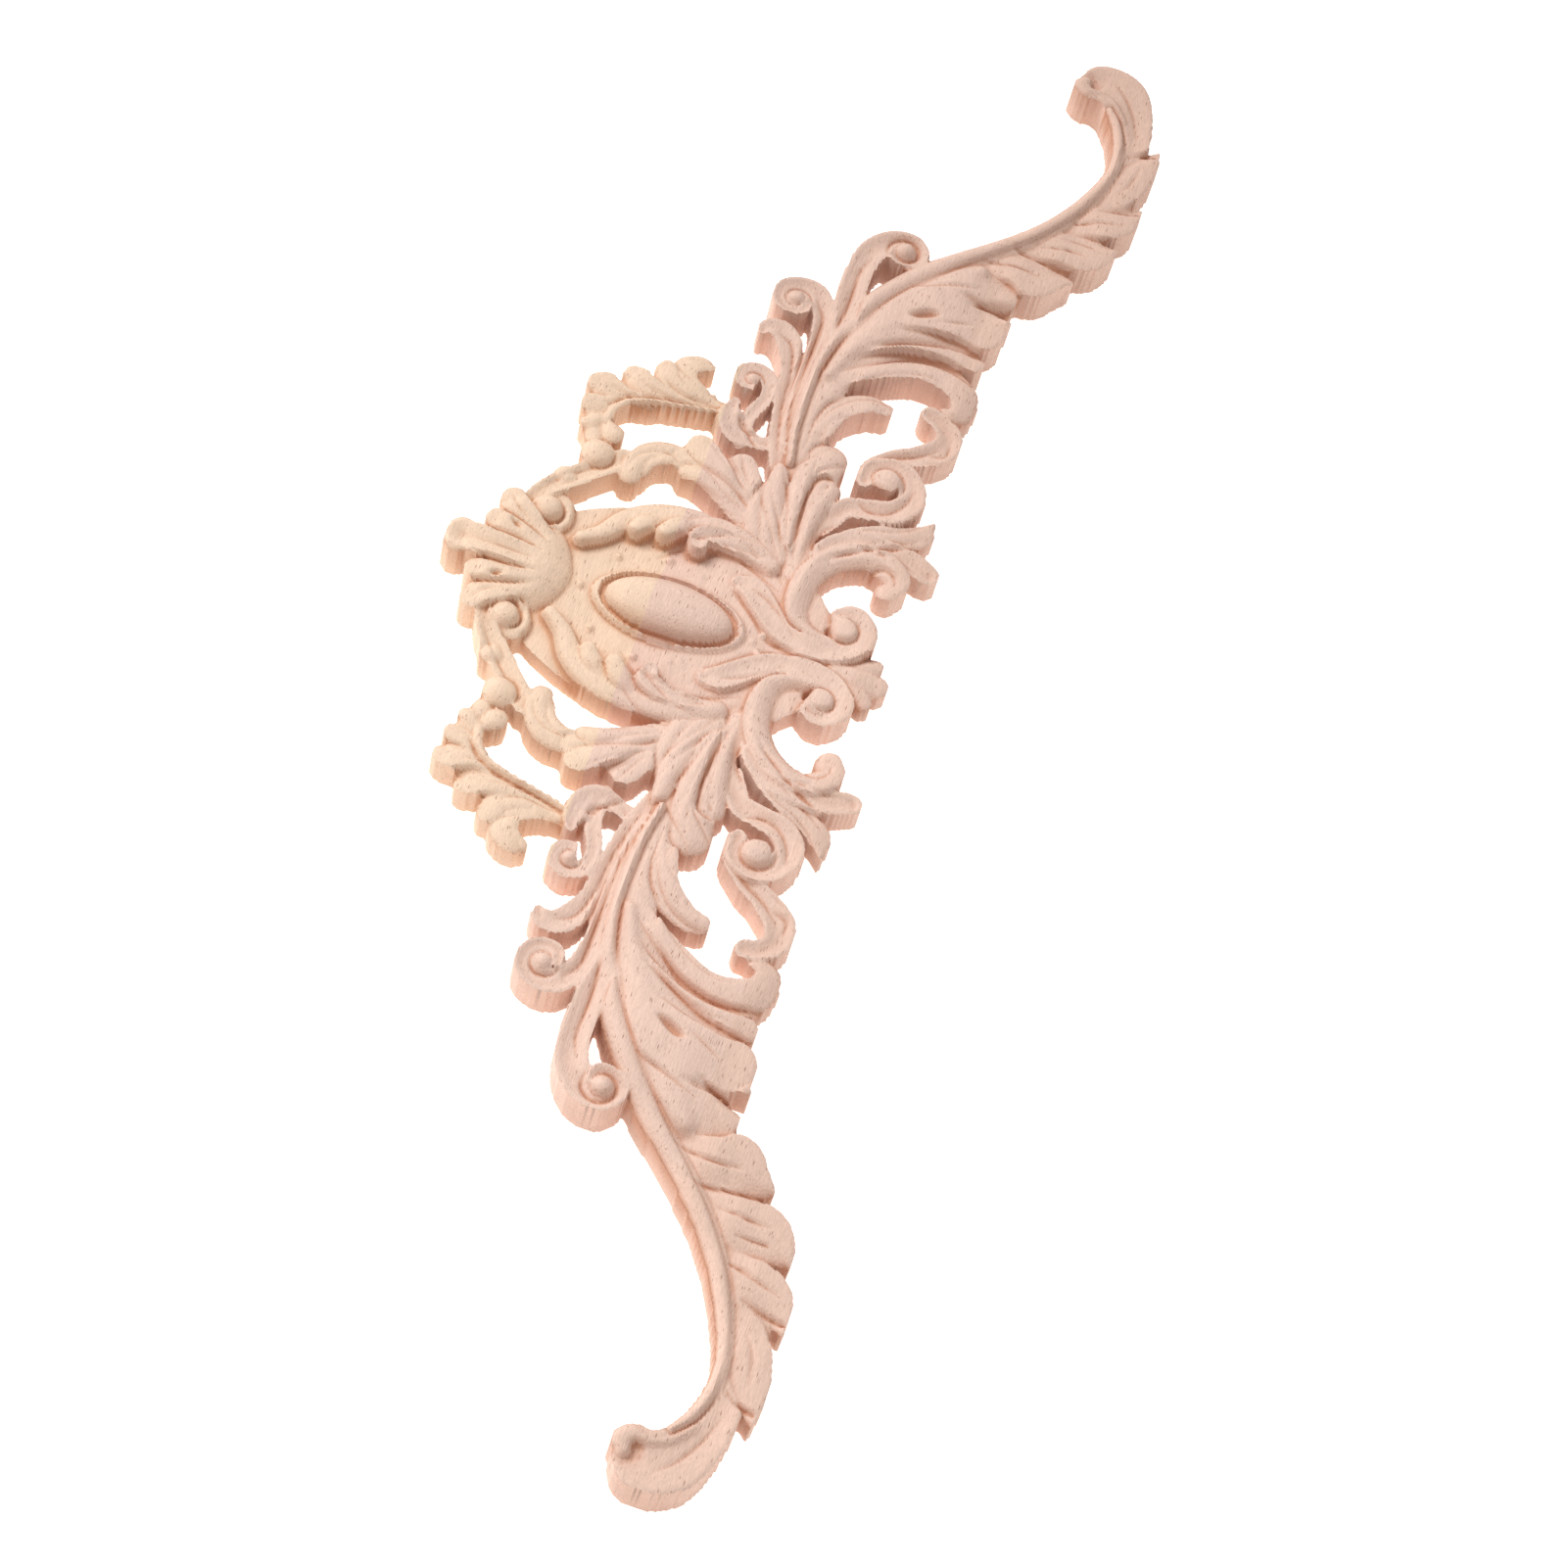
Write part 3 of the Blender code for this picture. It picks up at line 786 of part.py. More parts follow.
def triangles(points, loops, edges):
    """Triangles between the points inside the loops, whose edges are all kept."""
    _, _, faces, source, _, _ = delaunay_2d_cdt([Vector(p) for p in points], edges, [], 0, 1e-7)
    if len(source) != len(points):
        raise ValueError("the outline crosses itself")
    tris = np.array([[source[v][0] for v in face] for face in faces])
    tris = tris[is_within(points[tris].mean(axis=1), loops)]
    a, b, c = (points[tris[:, k]] for k in range(3))
    turn = (b[:, 0] - a[:, 0]) * (c[:, 1] - a[:, 1]) - (b[:, 1] - a[:, 1]) * (c[:, 0] - a[:, 0])
    tris[turn < 0] = tris[turn < 0][:, ::-1]
    return tris


def solid():
    """Points and triangles of the closed body: carved face, upright sides and flat back."""
    xs, ys, f, z = sample()
    loops = outline(xs, ys, f)
    rim = np.vstack(loops)
    edges, first = [], 0
    for loop in loops:
        n = len(loop)
        edges += [(first + k, first + (k + 1) % n) for k in range(n)]
        first += n
    inner = face_points(xs, ys, f, z)
    inner = inner[is_within(inner[:, :2], loops)]
    top = np.vstack([np.column_stack([rim, height_at(xs, ys, f, z, rim)]), inner])
    back = np.column_stack([rim, np.zeros(len(rim))])
    face = triangles(top[:, :2], loops, edges)
    under = triangles(rim, loops, edges)[:, ::-1] + len(top)
    sides = []
    for a, b in edges:
        sides += [(b, a, a + len(top)), (b, a + len(top), b + len(top))]
    across = LENGTH / 2 / DRAWN_HALF
    points = np.vstack([top, back]) * (across, across, THICKNESS / DRAWN_TOP)
    return points, np.vstack([face, under, sides])


def wood():
    """Bare pale hardwood."""
    material = bpy.data.materials.new("bare_wood")
    material.use_nodes = True
    shader = material.node_tree.nodes["Principled BSDF"]
    shader.inputs["Base Color"].default_value = BARE_WOOD
    shader.inputs["Roughness"].default_value = ROUGHNESS
    material.diffuse_color = BARE_WOOD
    return material


def build():
    """Clears the scene and adds the one carved solid."""
    for thing in list(bpy.data.objects):
        bpy.data.objects.remove(thing)
    points, faces = solid()
    mesh = bpy.data.meshes.new("applique")
    mesh.from_pydata(points.tolist(), [], faces.tolist())
    mesh.materials.append(wood())
    applique = bpy.data.objects.new("applique", mesh)
    bpy.context.scene.collection.objects.link(applique)


build()
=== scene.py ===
"""Looks of a carved wooden applique: a pierced crest with two leafy arms, flat at the back.

Lengths in the drawing of the carving are millimetres: x along the arms from the middle, y towards the fan,
heights above the flat back. Lengths in materials, lights and camera are metres, as in the frame.
"""

import math

import bpy
import numpy as np
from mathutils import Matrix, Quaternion, Vector
from mathutils.geometry import delaunay_2d_cdt


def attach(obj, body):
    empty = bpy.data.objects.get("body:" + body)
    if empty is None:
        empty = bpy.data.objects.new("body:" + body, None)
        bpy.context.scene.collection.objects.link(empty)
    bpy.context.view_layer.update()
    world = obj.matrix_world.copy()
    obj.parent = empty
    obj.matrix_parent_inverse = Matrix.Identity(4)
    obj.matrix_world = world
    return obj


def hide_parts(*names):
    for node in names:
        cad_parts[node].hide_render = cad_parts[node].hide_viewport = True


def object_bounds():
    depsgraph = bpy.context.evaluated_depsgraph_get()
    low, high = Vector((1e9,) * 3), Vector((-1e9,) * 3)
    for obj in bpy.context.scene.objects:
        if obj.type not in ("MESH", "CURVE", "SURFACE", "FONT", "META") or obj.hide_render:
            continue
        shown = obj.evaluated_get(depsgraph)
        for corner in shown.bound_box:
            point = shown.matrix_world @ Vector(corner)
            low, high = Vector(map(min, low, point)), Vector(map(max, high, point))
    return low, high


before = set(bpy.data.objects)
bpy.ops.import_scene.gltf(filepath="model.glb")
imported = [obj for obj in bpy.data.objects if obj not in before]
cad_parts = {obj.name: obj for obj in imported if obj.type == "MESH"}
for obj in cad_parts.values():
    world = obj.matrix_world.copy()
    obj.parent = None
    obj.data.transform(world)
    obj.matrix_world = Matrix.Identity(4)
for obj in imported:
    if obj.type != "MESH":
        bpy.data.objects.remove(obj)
cad_low, cad_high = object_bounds()

# The ground of the shield and of the fan. The whole applique is carved from one flat blank: what is lowest on
# it is laid down first, and each later section lays or cuts its own forms over that. Only the right half is
# drawn, because the left one mirrors it.
work = []

# Numbers of the carving functions, lengths in millimetres
STEP = 0.6  # between places along a form
EDGE = 0.7  # width of the slope where a form ends on a lower one
COVE_LIP = 0.35  # how much the rims of a "cove" are rounded, as a share of its drop
TILTED = 0.75  # share of the drop of an "in" or "out" that is its tilt
TILT_POWER = 1.5  # how a tilt or a one-sided groove bends
TAPER_WIDTH = 0.76  # share of a tapered groove's width that is left at its ends
TAPER_DEPTH = 0.4  # and of its depth
WHORL_PLACES = 12  # along a spiral groove
WHORL_END = 0.3  # share of a spiral groove's width and depth that is left at its ends
DOT = 0.01  # length of a form that has a single place, as a bead does
FAR = 50.0  # farther away than any form reaches
TINY = 1e-9  # keeps a division from having 0 below it


def spline(points):
    """Smooth curve through the places of a form or groove, with a place about every STEP (Catmull-Rom)."""
    p = np.array(points, float)
    if len(p) == 1:
        return np.vstack([p, p + [DOT, 0, 0, 0]])
    q = np.vstack([2 * p[0] - p[1], p, 2 * p[-1] - p[-2]])
    out = []
    for a, b, c, d in zip(q[:-3], q[1:-2], q[2:-1], q[3:]):
        t = np.linspace(0, 1, int(np.hypot(*(c - b)[:2]) / STEP) + 2)[:-1, None]
        bend = (2 * a - 5 * b + 4 * c - d) * t ** 2 + (3 * b - a - 3 * c + d) * t ** 3
        out.append(b + 0.5 * ((c - a) * t + bend))
    return np.vstack(out + [p[-1:]])


def tapered(width, depth, *places):
    """Places of a groove that keeps one width and depth, and is narrower and shallower at its two ends."""
    end = round(TAPER_WIDTH * width, 2), round(TAPER_DEPTH * depth, 2)
    return [places[0] + end, *(place + (width, depth) for place in places[1:-1]), places[-1] + end]


def whorl(x, y, inner, outer, start, turn, width, depth):
    """Places of a spiral groove about x, y, from the inner to the outer radius; turns in degrees."""
    share = np.linspace(0, 1, WHORL_PLACES)
    angle = np.radians(start + turn * share)
    radius = inner + (outer - inner) * share
    taper = np.minimum(1, WHORL_END + 4 * share * (1 - share))
    across, along = radius * np.cos(angle), radius * np.sin(angle)
    return np.column_stack([x + across, y + along, width * taper, depth * taper])


def nearest(x, y, spine):
    """Which points are near a spine, and five values for each of them.

    They are its distance from the spine and its offset to the right of it, both in half-widths, and the
    half-width, the level and the share of the length at the nearest place on the spine.
    """
    reach = spine[:, 2].max() + 1
    near = np.flatnonzero((x > spine[:, 0].min() - reach) & (x < spine[:, 0].max() + reach)
                          & (y > spine[:, 1].min() - reach) & (y < spine[:, 1].max() + reach))
    px, py = x[near], y[near]
    found = np.full((5, len(near)), FAR)
    for i, (a, b) in enumerate(zip(spine[:-1], spine[1:])):
        ax, ay = b[:2] - a[:2]
        long = np.hypot(ax, ay) + TINY
        t = np.clip(((px - a[0]) * ax + (py - a[1]) * ay) / long ** 2, 0, 1)
        dx, dy = px - a[0] - t * ax, py - a[1] - t * ay
        wide = a[2] + t * (b[2] - a[2])
        away = np.hypot(dx, dy) / wide
        right = (dx * ay - dy * ax) / long / wide
        new = away < found[0]
        level, share = a[3] + t * (b[3] - a[3]), (i + t) / (len(spine) - 1)
        found[:, new] = np.array([away, right, wide, level, share])[:, new]
    return near, found


def smooth(t):
    """Rises from 0 to 1 between 0 and 1 with level ends."""
    t = np.clip(t, 0, 1)
    return t * t * (3 - 2 * t)


def fall(kind, away, right, drop):
    """Height lost across a form, at a distance and an offset to the right in half-widths."""
    if kind in ("round", "soft"):
        return drop * away ** 2
    if kind == "flat":
        return drop * away ** 6
    if kind == "cove":
        return drop * (1 - away ** 2) ** 2 + COVE_LIP * drop * away ** 8
    tilt = np.clip(0.5 + 0.5 * (right if kind == "out" else -right), 0, 1)
    return drop * (TILTED * tilt ** TILT_POWER + (1 - TILTED) * away ** 2)


def lay(x, y, inside, height, form):
    """Lays a leaf, stem or scroll over what is there; its root fades out of it over a share of its length.

    A "soft" form only swells what is there, most along its middle.
    """
    _, kind, drop, fade, points = form
    near, (away, right, wide, level, share) = nearest(x, y, spline(points))
    on = (away < 1) & ((kind != "soft") | (inside[near] > 0))
    near, away, right, wide, level, share = (v[on] for v in (near, away, right, wide, level, share))
    new = level - fall(kind, away, right, drop)
    rise = smooth((1 - away) if kind == "soft" else (1 - away) * wide / EDGE)
    if fade:
        rise = np.minimum(rise, smooth(share / fade))
    rise = np.where(inside[near] > 0, rise, 1)
    height[near] += rise * (new - height[near])
    if kind != "soft":
        inside[near] = np.maximum(inside[near], (1 - away) * wide)


def cut(x, y, inside, height, groove):
    """Cuts a groove: "v" and "u" are even, "left" and "right" are steep there and fade to the other side."""
    _, kind, points = groove
    near, (away, right, wide, depth, _) = nearest(x, y, spline(points))
    if kind == "v":
        part = np.clip(1 - away, 0, 1)
    elif kind == "u":
        part = np.clip(1 - away ** 2, 0, 1) ** 2
    else:
        off = right if kind == "left" else -right
        gentle, steep = np.clip(1 - off, 0, 1) ** TILT_POWER, np.clip(1 + off * wide / EDGE, 0, 1)
        part = np.where(away < 1, np.where(off >= 0, gentle, steep), 0)
    height[near] -= depth * part


def dome(x, y, inside, height, oval):
    """Raises a domed oval with a gutter round it and a ring round that."""
    out = np.hypot(x / oval["rx"], (y - oval["y"]) / oval["ry"])
    ring = np.hypot(x / oval["ring_rx"], (y - oval["y"]) / oval["ring_ry"]) - 1
    ring *= oval["ring_rx"] / oval["ring_width"]
    on_ring, in_gutter, on_dome = np.abs(ring) < 1, (out >= 1) & (ring < 0), out < 1
    crest = oval["ring_z"] - oval["ring_drop"] * ring[on_ring] ** 2
    height[on_ring] = np.maximum(height[on_ring], crest)
    height[in_gutter] = np.minimum(height[in_gutter], oval["gutter"])
    rise = np.maximum(0, 1 - out[on_dome] ** 2) ** (oval["fullness"] / 2)
    height[on_dome] = oval["base"] + (oval["top"] - oval["base"]) * rise


# Each form is (name, section, drop, fade, places), and a place is (x, y, half-width, height of the face).
# Sections: "round" falls by drop to both edges, "cove" is hollowed by drop along its middle, "in" and "out"
# are tilted, low on the left or on the right of the way the form runs, and "soft" only swells what is there.
# Over the share fade of its length the root of a form rises out of what is below. Each groove is (name,
# section, places), and a place is (x, y, half-width, depth).
GROUND = [
    ("shield", "round", 0.6, 0,
     [(0, 34, 12.6, 7.4), (0, 30, 12.8, 7.2), (0, 26, 18, 7), (0, 22, 24.5, 7), (0, 17, 29.5, 7),
      (0, 10, 33, 7), (0, 3, 35.2, 7), (0, -3, 36, 7.5), (0, -9, 36, 8), (0, -15, 33, 8),
      (0, -21, 28, 8), (0, -26, 18, 7.5), (0, -30, 8, 7), (0, -36, 4, 7)]),
    ("fan", "round", 5, 0, [(0, 40.4, 12.4, 12.6), (5, 41, 11, 12.4), (9.5, 41.6, 8.6, 11.6)]),
]
work += [(lay, form) for form in GROUND]

# The little palmette that hangs under the shield, of the same wood. It is sawn with the outline and its three
# lobes are rounded over low, so that the curls beside it stand out.
PALMETTE = [
    ("palmette side", "round", 1.2, 0, [(1.5, -54, 2.2, 8), (4.8, -58.6, 3, 7.4), (6.2, -60, 2.9, 6.8)]),
    ("palmette", "round", 1.2, 0, [(0, -50, 3, 8.5), (0, -57, 3.8, 8.2), (0, -62, 4, 7)]),
]
work += [(lay, form) for form in PALMETTE]

# The leafy arm, the longest leaf of the piece, of the same blank. The carver rounds a rim along its back,
# hollows long troughs from the root, steps each lobe over the next one and runs a vein down its middle.
ARM = [
    ("arm ground", "round", 1, 0,
     [(60, -20, 4.5, 9), (75, -20.3, 4.5, 10), (88, -20.6, 4.6, 10.5), (100, -23, 5.4, 11),
      (112, -27, 8, 11), (124, -38, 15, 11), (137, -45, 14, 11), (150, -53, 11, 10.5),
      (163, -65, 9.5, 10), (176, -74.5, 8, 9.5), (190, -81, 6.5, 9.5), (202, -84, 5.8, 9.5),
      (214, -84, 5.2, 9.5)]),
    ("terminal", "cove", 1.4, 0.2,
     [(200, -83, 5, 10.5), (214, -83.8, 5, 10.8), (226, -82.8, 5.6, 11.5), (234.5, -79.4, 7.2, 12),
      (240, -75, 8.6, 12.3), (242.4, -69.8, 7.7, 12), (241.6, -67, 6, 11)]),
    ("terminal curl", "round", 1.6, 0,
     [(229.5, -77.5, 2.2, 12), (234, -73.5, 2.4, 12.6), (236, -69, 2.4, 13), (236, -65, 2.6, 13.2),
      (238.3, -62.6, 3, 13), (240.6, -63.4, 2.4, 12.4)]),
    ("lobe 9", "in", 2.2, 0.4,
     [(194, -79.5, 3.6, 11), (203, -84, 6.2, 11), (212, -87.8, 5.4, 11), (219, -90, 3, 10.6),
      (223.4, -91.6, 0.7, 10)]),
    ("lobe 8", "in", 2.6, 0.4,
     [(181, -72, 3.4, 12), (186.4, -79, 7, 12), (189.6, -85.8, 6.2, 11.6), (194, -90, 2.9, 11),
      (197.8, -91.8, 0.7, 10.4)]),
    ("lobe 7", "in", 2.8, 0.4,
     [(168.5, -63, 3.4, 12.6), (172, -71, 6.6, 12.4), (173.2, -78.6, 7.7, 12), (175.6, -84, 4.8, 11.6),
      (178.6, -87.4, 1.6, 11), (179.8, -88.4, 0.6, 10.5)]),
    ("lobe 6", "in", 3, 0.4,
     [(156, -52, 3.4, 13), (157.6, -60, 6.8, 12.8), (156.6, -66.5, 7.6, 12.4), (158.6, -71.4, 5.2, 12),
      (160.8, -75.8, 3, 11.4), (161.4, -78.4, 1.2, 10.8)]),
    ("lobe 5", "in", 2.4, 0.4,
     [(142, -38.5, 4.4, 13.6), (147.4, -47, 6.4, 13.4), (147.2, -54, 6.6, 12.8), (146.2, -59, 6.4, 12)]),
    ("lobe 4 tip", "round", 0.6, 0, [(133, -57, 5, 12.4), (135.6, -62.6, 2, 12), (137, -65, 0.6, 11.6)]),
    ("lobe 4", "in", 1.4, 0.4,
     [(120, -22, 3.6, 13.4), (127, -32, 7.4, 14.4), (130.5, -42, 9.3, 14.4), (131.6, -51, 8, 13.4),
      (131.3, -57.2, 8, 12)]),
    ("lobe 3", "in", 2.4, 0.35,
     [(104, -20, 2.5, 13), (111, -27, 3.2, 13.4), (116.3, -36, 4, 13.2), (119, -45, 4.3, 12.6),
      (119.8, -53, 4.3, 11.8), (119.4, -58.2, 4.2, 10.8)]),
    ("lobe 2", "in", 3, 0.3,
     [(92, -19, 3, 12.6), (100, -25.5, 4.4, 12.8), (105.6, -33, 4.8, 12.4), (109.4, -40, 5, 11.8),
      (111.1, -47, 5, 11.4), (110.2, -54, 5.5, 11), (106.6, -58.9, 4.9, 10.6), (101, -59.9, 3.7, 10.2),
      (98.2, -57.4, 2.6, 10), (98.6, -55, 1.6, 9.8)]),
    ("lobe 1", "in", 2.4, 0.35,
     [(70, -21, 3.4, 11.8), (78, -23.4, 4, 11.8), (84.4, -25.2, 4.2, 11.6), (89.2, -29, 4.3, 11.2),
      (92.3, -34, 3.7, 10.8), (92.6, -38.2, 3.1, 10)]),
    ("arm rim", "round", 3.2, 0,
     [(62, -18, 1.5, 11.6), (75, -16, 1.7, 12), (95, -15.6, 2, 12.4), (108, -17.4, 2.6, 13),
      (118, -20.6, 3.2, 13.6), (128, -25, 3.6, 13.9), (137, -30.6, 3.8, 13.9), (145, -36.5, 3.9, 13.6),
      (152.5, -43.3, 3.9, 13.2), (160, -51, 3.8, 13), (168, -58.6, 3.7, 12.6), (177, -66, 3.6, 12.2),
      (187, -72.2, 3.4, 11.9), (198, -77, 3, 11.7), (209, -80, 2.6, 11.6), (219, -79.6, 2.4, 12),
      (227, -76.8, 2.2, 12.4), (232, -73.2, 1.7, 12.6)]),
    ("swell", "soft", 0.8, 0,
     [(96, -19.5, 3, 12.4), (106, -23, 5, 13), (114, -27, 8, 13.6), (122, -32.5, 11, 14.2),
      (130, -38.5, 13, 14.6), (138, -43.5, 12, 14.4), (146, -48, 8, 13.8), (152, -52, 4, 13.4)]),
]
work += [(lay, form) for form in ARM]
ARM_CUTS = [
    ("trough 1", "right",
     [(99, -23, 1.2, 0.3), (105, -30, 2, 1.2), (110.5, -38, 2.8, 2), (113.4, -46, 3, 2.4),
      (113.6, -53, 2.8, 2), (112, -60, 2, 1.2)]),
    ("trough 2", "right",
     [(105, -24, 1.2, 0.3), (111, -30.5, 2, 1), (116, -38, 2.6, 1.8), (119.6, -46, 2.8, 2.2),
      (121.2, -53, 2.6, 2), (122, -61, 2, 1.4)]),
    ("pit", "u",
     [(125.6, -36.6, 1.2, 1), (126.8, -39, 1.9, 2.2), (128.4, -42, 1.9, 2.2), (128.8, -44, 1.1, 1)]),
    ("rim line", "left",
     [(96, -17.6, 0.9, 0.6), (108, -19.6, 1, 0.7), (120, -23.6, 1, 0.6), (137, -33.8, 1.2, 0.5),
      (149, -43.6, 1.6, 0.8), (157, -50.8, 1.8, 1), (165, -58.2, 1.8, 1.1), (173.4, -65.4, 1.7, 1.1),
      (186.4, -73.8, 1.5, 1), (198, -78.4, 1.3, 0.9), (208, -81, 1, 0.6)]),
    ("notch 4", "right",
     [(138, -52, 1, 0.5), (139.4, -56, 2.2, 2.4), (140.4, -60, 3.4, 4.6), (141, -64, 4.2, 6),
      (141.4, -68, 4.6, 6.4)]),
    ("root line 1", "v", tapered(0.8, 0.9, (59.4, -17), (71.6, -14.6), (83.5, -13.3), (94.4, -13.9))),
    ("lobe 1 vein", "v", tapered(0.7, 0.7, (69.3, -20.4), (79, -20.6), (86.7, -22.9), (91.9, -28.2))),
    ("lobe 1 vein 2", "v", tapered(0.6, 0.5, (71.3, -22.8), (78.2, -24.2), (83.3, -28.4), (85.1, -34.6))),
    ("lobe 1 line", "v",
     tapered(0.8, 0.9, (76.7, -20.8), (85.7, -24.6), (91.7, -29.6), (94.3, -35.1), (94.3, -39.2))),
    ("lobe 2 line", "v",
     tapered(0.7, 0.7, (91.8, -25.5), (100.2, -32.2), (105.3, -39.2), (107.8, -46.8), (107.3, -52))),
    ("lobe 2 line 2", "v",
     tapered(0.7, 0.8, (101.9, -28), (108.7, -34.8), (113.7, -41.8), (114.6, -47.5))),
    ("vein 5", "v", tapered(0.8, 1, (136.8, -34.3), (139.9, -40.5), (142.2, -46.3), (144.4, -52.9))),
    ("vein 4", "v", tapered(0.7, 0.8, (125.6, -43.4), (128.2, -48.7), (129.8, -52.1), (131.4, -55.6))),
    ("vein 6", "v", tapered(0.8, 1.1, (157.3, -51.2), (158.7, -58.3), (158.9, -64.2), (158.2, -69.4))),
    ("edge 6", "right",
     [(166.1, -57.7, 1.365, 0.576), (165.4, -64.7, 1.8, 1.44), (164.4, -71.7, 1.8, 1.44),
      (163.8, -77.4, 1.365, 1.632)]),
    ("vein 7", "v", tapered(0.8, 1.1, (170.5, -66.6), (171.2, -72.2), (171.8, -76.8), (171.8, -81.1))),
    ("edge 7", "right",
     [(176.3, -73.1, 0.795, 0.384), (176.5, -76.8, 1.05, 0.96), (176.5, -81.1, 0.795, 1.088)]),
    ("vein 7b", "v", tapered(0.7, 0.9, (184, -74), (184.8, -77.1), (185.6, -80.2))),
    ("vein 8", "v", tapered(0.8, 1.1, (184.1, -74.2), (186.7, -81.1), (188.9, -88.6))),
    ("edge 8", "right",
     [(192.6, -80.4, 1.14, 0.576), (194.1, -85.5, 1.5, 1.44), (195.5, -90.9, 1.14, 1.632)]),
    ("vein 9", "u", tapered(1, 0.7, (201.2, -83.5), (205.3, -86.1), (209.5, -87.1), (214.3, -87.7))),
    ("edge 9", "right",
     [(217.7, -84.1, 1.365, 0.624), (219.5, -86.9, 1.8, 1.56), (220.5, -90.4, 1.365, 1.768)]),
    ("terminal ridge", "v",
     tapered(0.9, 0.8, (207.8, -80.6), (214.2, -80.9), (222.5, -80.3), (229.9, -76.9), (235.2, -71.2),
             (235.2, -67), (233.9, -64.5))),
    ("terminal vein", "v",
     tapered(0.8, 0.8, (225.1, -83.8), (232.9, -80.9), (239.7, -76.7), (243.5, -72.4))),
    ("lobe 3 vein", "v",
     [(110, -27, 0.6, 0.3), (115, -36, 0.8, 0.8), (118.6, -46, 0.8, 0.8), (119.4, -55, 0.6, 0.3)]),
]
work += [(cut, groove) for groove in ARM_CUTS]

# Two scrolls and a hook that leave the back of the arm. Each is a band with a hollow face, run out with a
# round gouge, and the scrolls end in a whorl round a small eye.
SCROLLS = [
    ("scroll 3", "cove", 1.5, 0.25,
     [(106, -18, 1.6, 11), (116, -18.4, 3.6, 11.8), (126, -17.8, 4.4, 12.2), (137, -17.6, 4.4, 12.4),
      (145.6, -19.3, 4.6, 12.8), (151.4, -24, 4.5, 13), (152.9, -29.6, 3.9, 13.2),
      (149, -32.9, 3.2, 13.4), (145.6, -30.4, 2.6, 13.6), (146, -26.6, 2.3, 13.8), (149, -25.2, 1.8, 14)]),
    ("scroll 3 eye", "round", 2, 0, [(149.6, -28.6, 3, 14.6)]),
    ("scroll 2", "cove", 1.3, 0.2,
     [(70, -14.3, 1.8, 10), (85, -12.9, 1.9, 10.4), (100, -13, 2.3, 10.8), (110, -13.2, 3, 11),
      (118, -12, 3.5, 11.2), (124, -8.3, 3.8, 11.6), (125.2, -3, 3.2, 11.8), (122.6, 1.2, 2.9, 12),
      (118, 1.5, 2.6, 12.2), (115.3, -1.6, 2.3, 12.4), (116, -5.6, 2, 12.6), (119, -6.9, 1.8, 12.6)]),
    ("scroll 2 eye", "round", 1.8, 0, [(119.8, -3.2, 2.7, 13)]),
    ("hook", "cove", 0.8, 0.25,
     [(60, -15.5, 3, 9), (72, -11.6, 2.8, 9.4), (85, -9.4, 2.6, 9.8), (96, -8.2, 3, 10.2),
      (103, -6, 4, 10.6), (107.2, -2.2, 3.7, 10.8), (106.9, 1.8, 2.8, 11), (104.9, 3.1, 1.5, 10.6)]),
]
work += [(lay, form) for form in SCROLLS]
SCROLLS_CUTS = [
    ("scroll 3 whorl", "v", whorl(149.4, -28.5, 2.8, 5.8, 100, 400, 0.9, 1.4)),
    ("scroll 3 stem", "v",
     [(104, -16.4, 0.5, 0.3), (114, -17.2, 0.8, 0.9), (126, -18, 0.9, 1.1), (137, -17.8, 0.8, 0.9),
      (143.6, -19.8, 0.5, 0.3)]),
    ("scroll 2 whorl", "v", whorl(119.8, -3.2, 2.5, 4.6, -100, -380, 0.9, 1.4)),
    ("scroll 2 stem", "v",
     [(72, -13.8, 0.6, 0.4), (88, -12.2, 0.9, 1.2), (104, -12.6, 1, 1.4), (116, -12.4, 0.9, 1),
      (122, -9, 0.6, 0.4)]),
    ("hook line", "v",
     [(66, -13.2, 0.6, 0.4), (80, -10.4, 0.9, 1.2), (94, -9.2, 1, 1.4), (103, -6.6, 0.9, 1),
      (106, -2, 0.6, 0.4)]),
    ("hook under", "v",
     [(75, -11.8, 0.6, 0.6), (90, -10.8, 1, 1.8), (100, -10.6, 1.1, 2.2), (108, -9.8, 1, 2)]),
]
work += [(cut, groove) for groove in SCROLLS_CUTS]

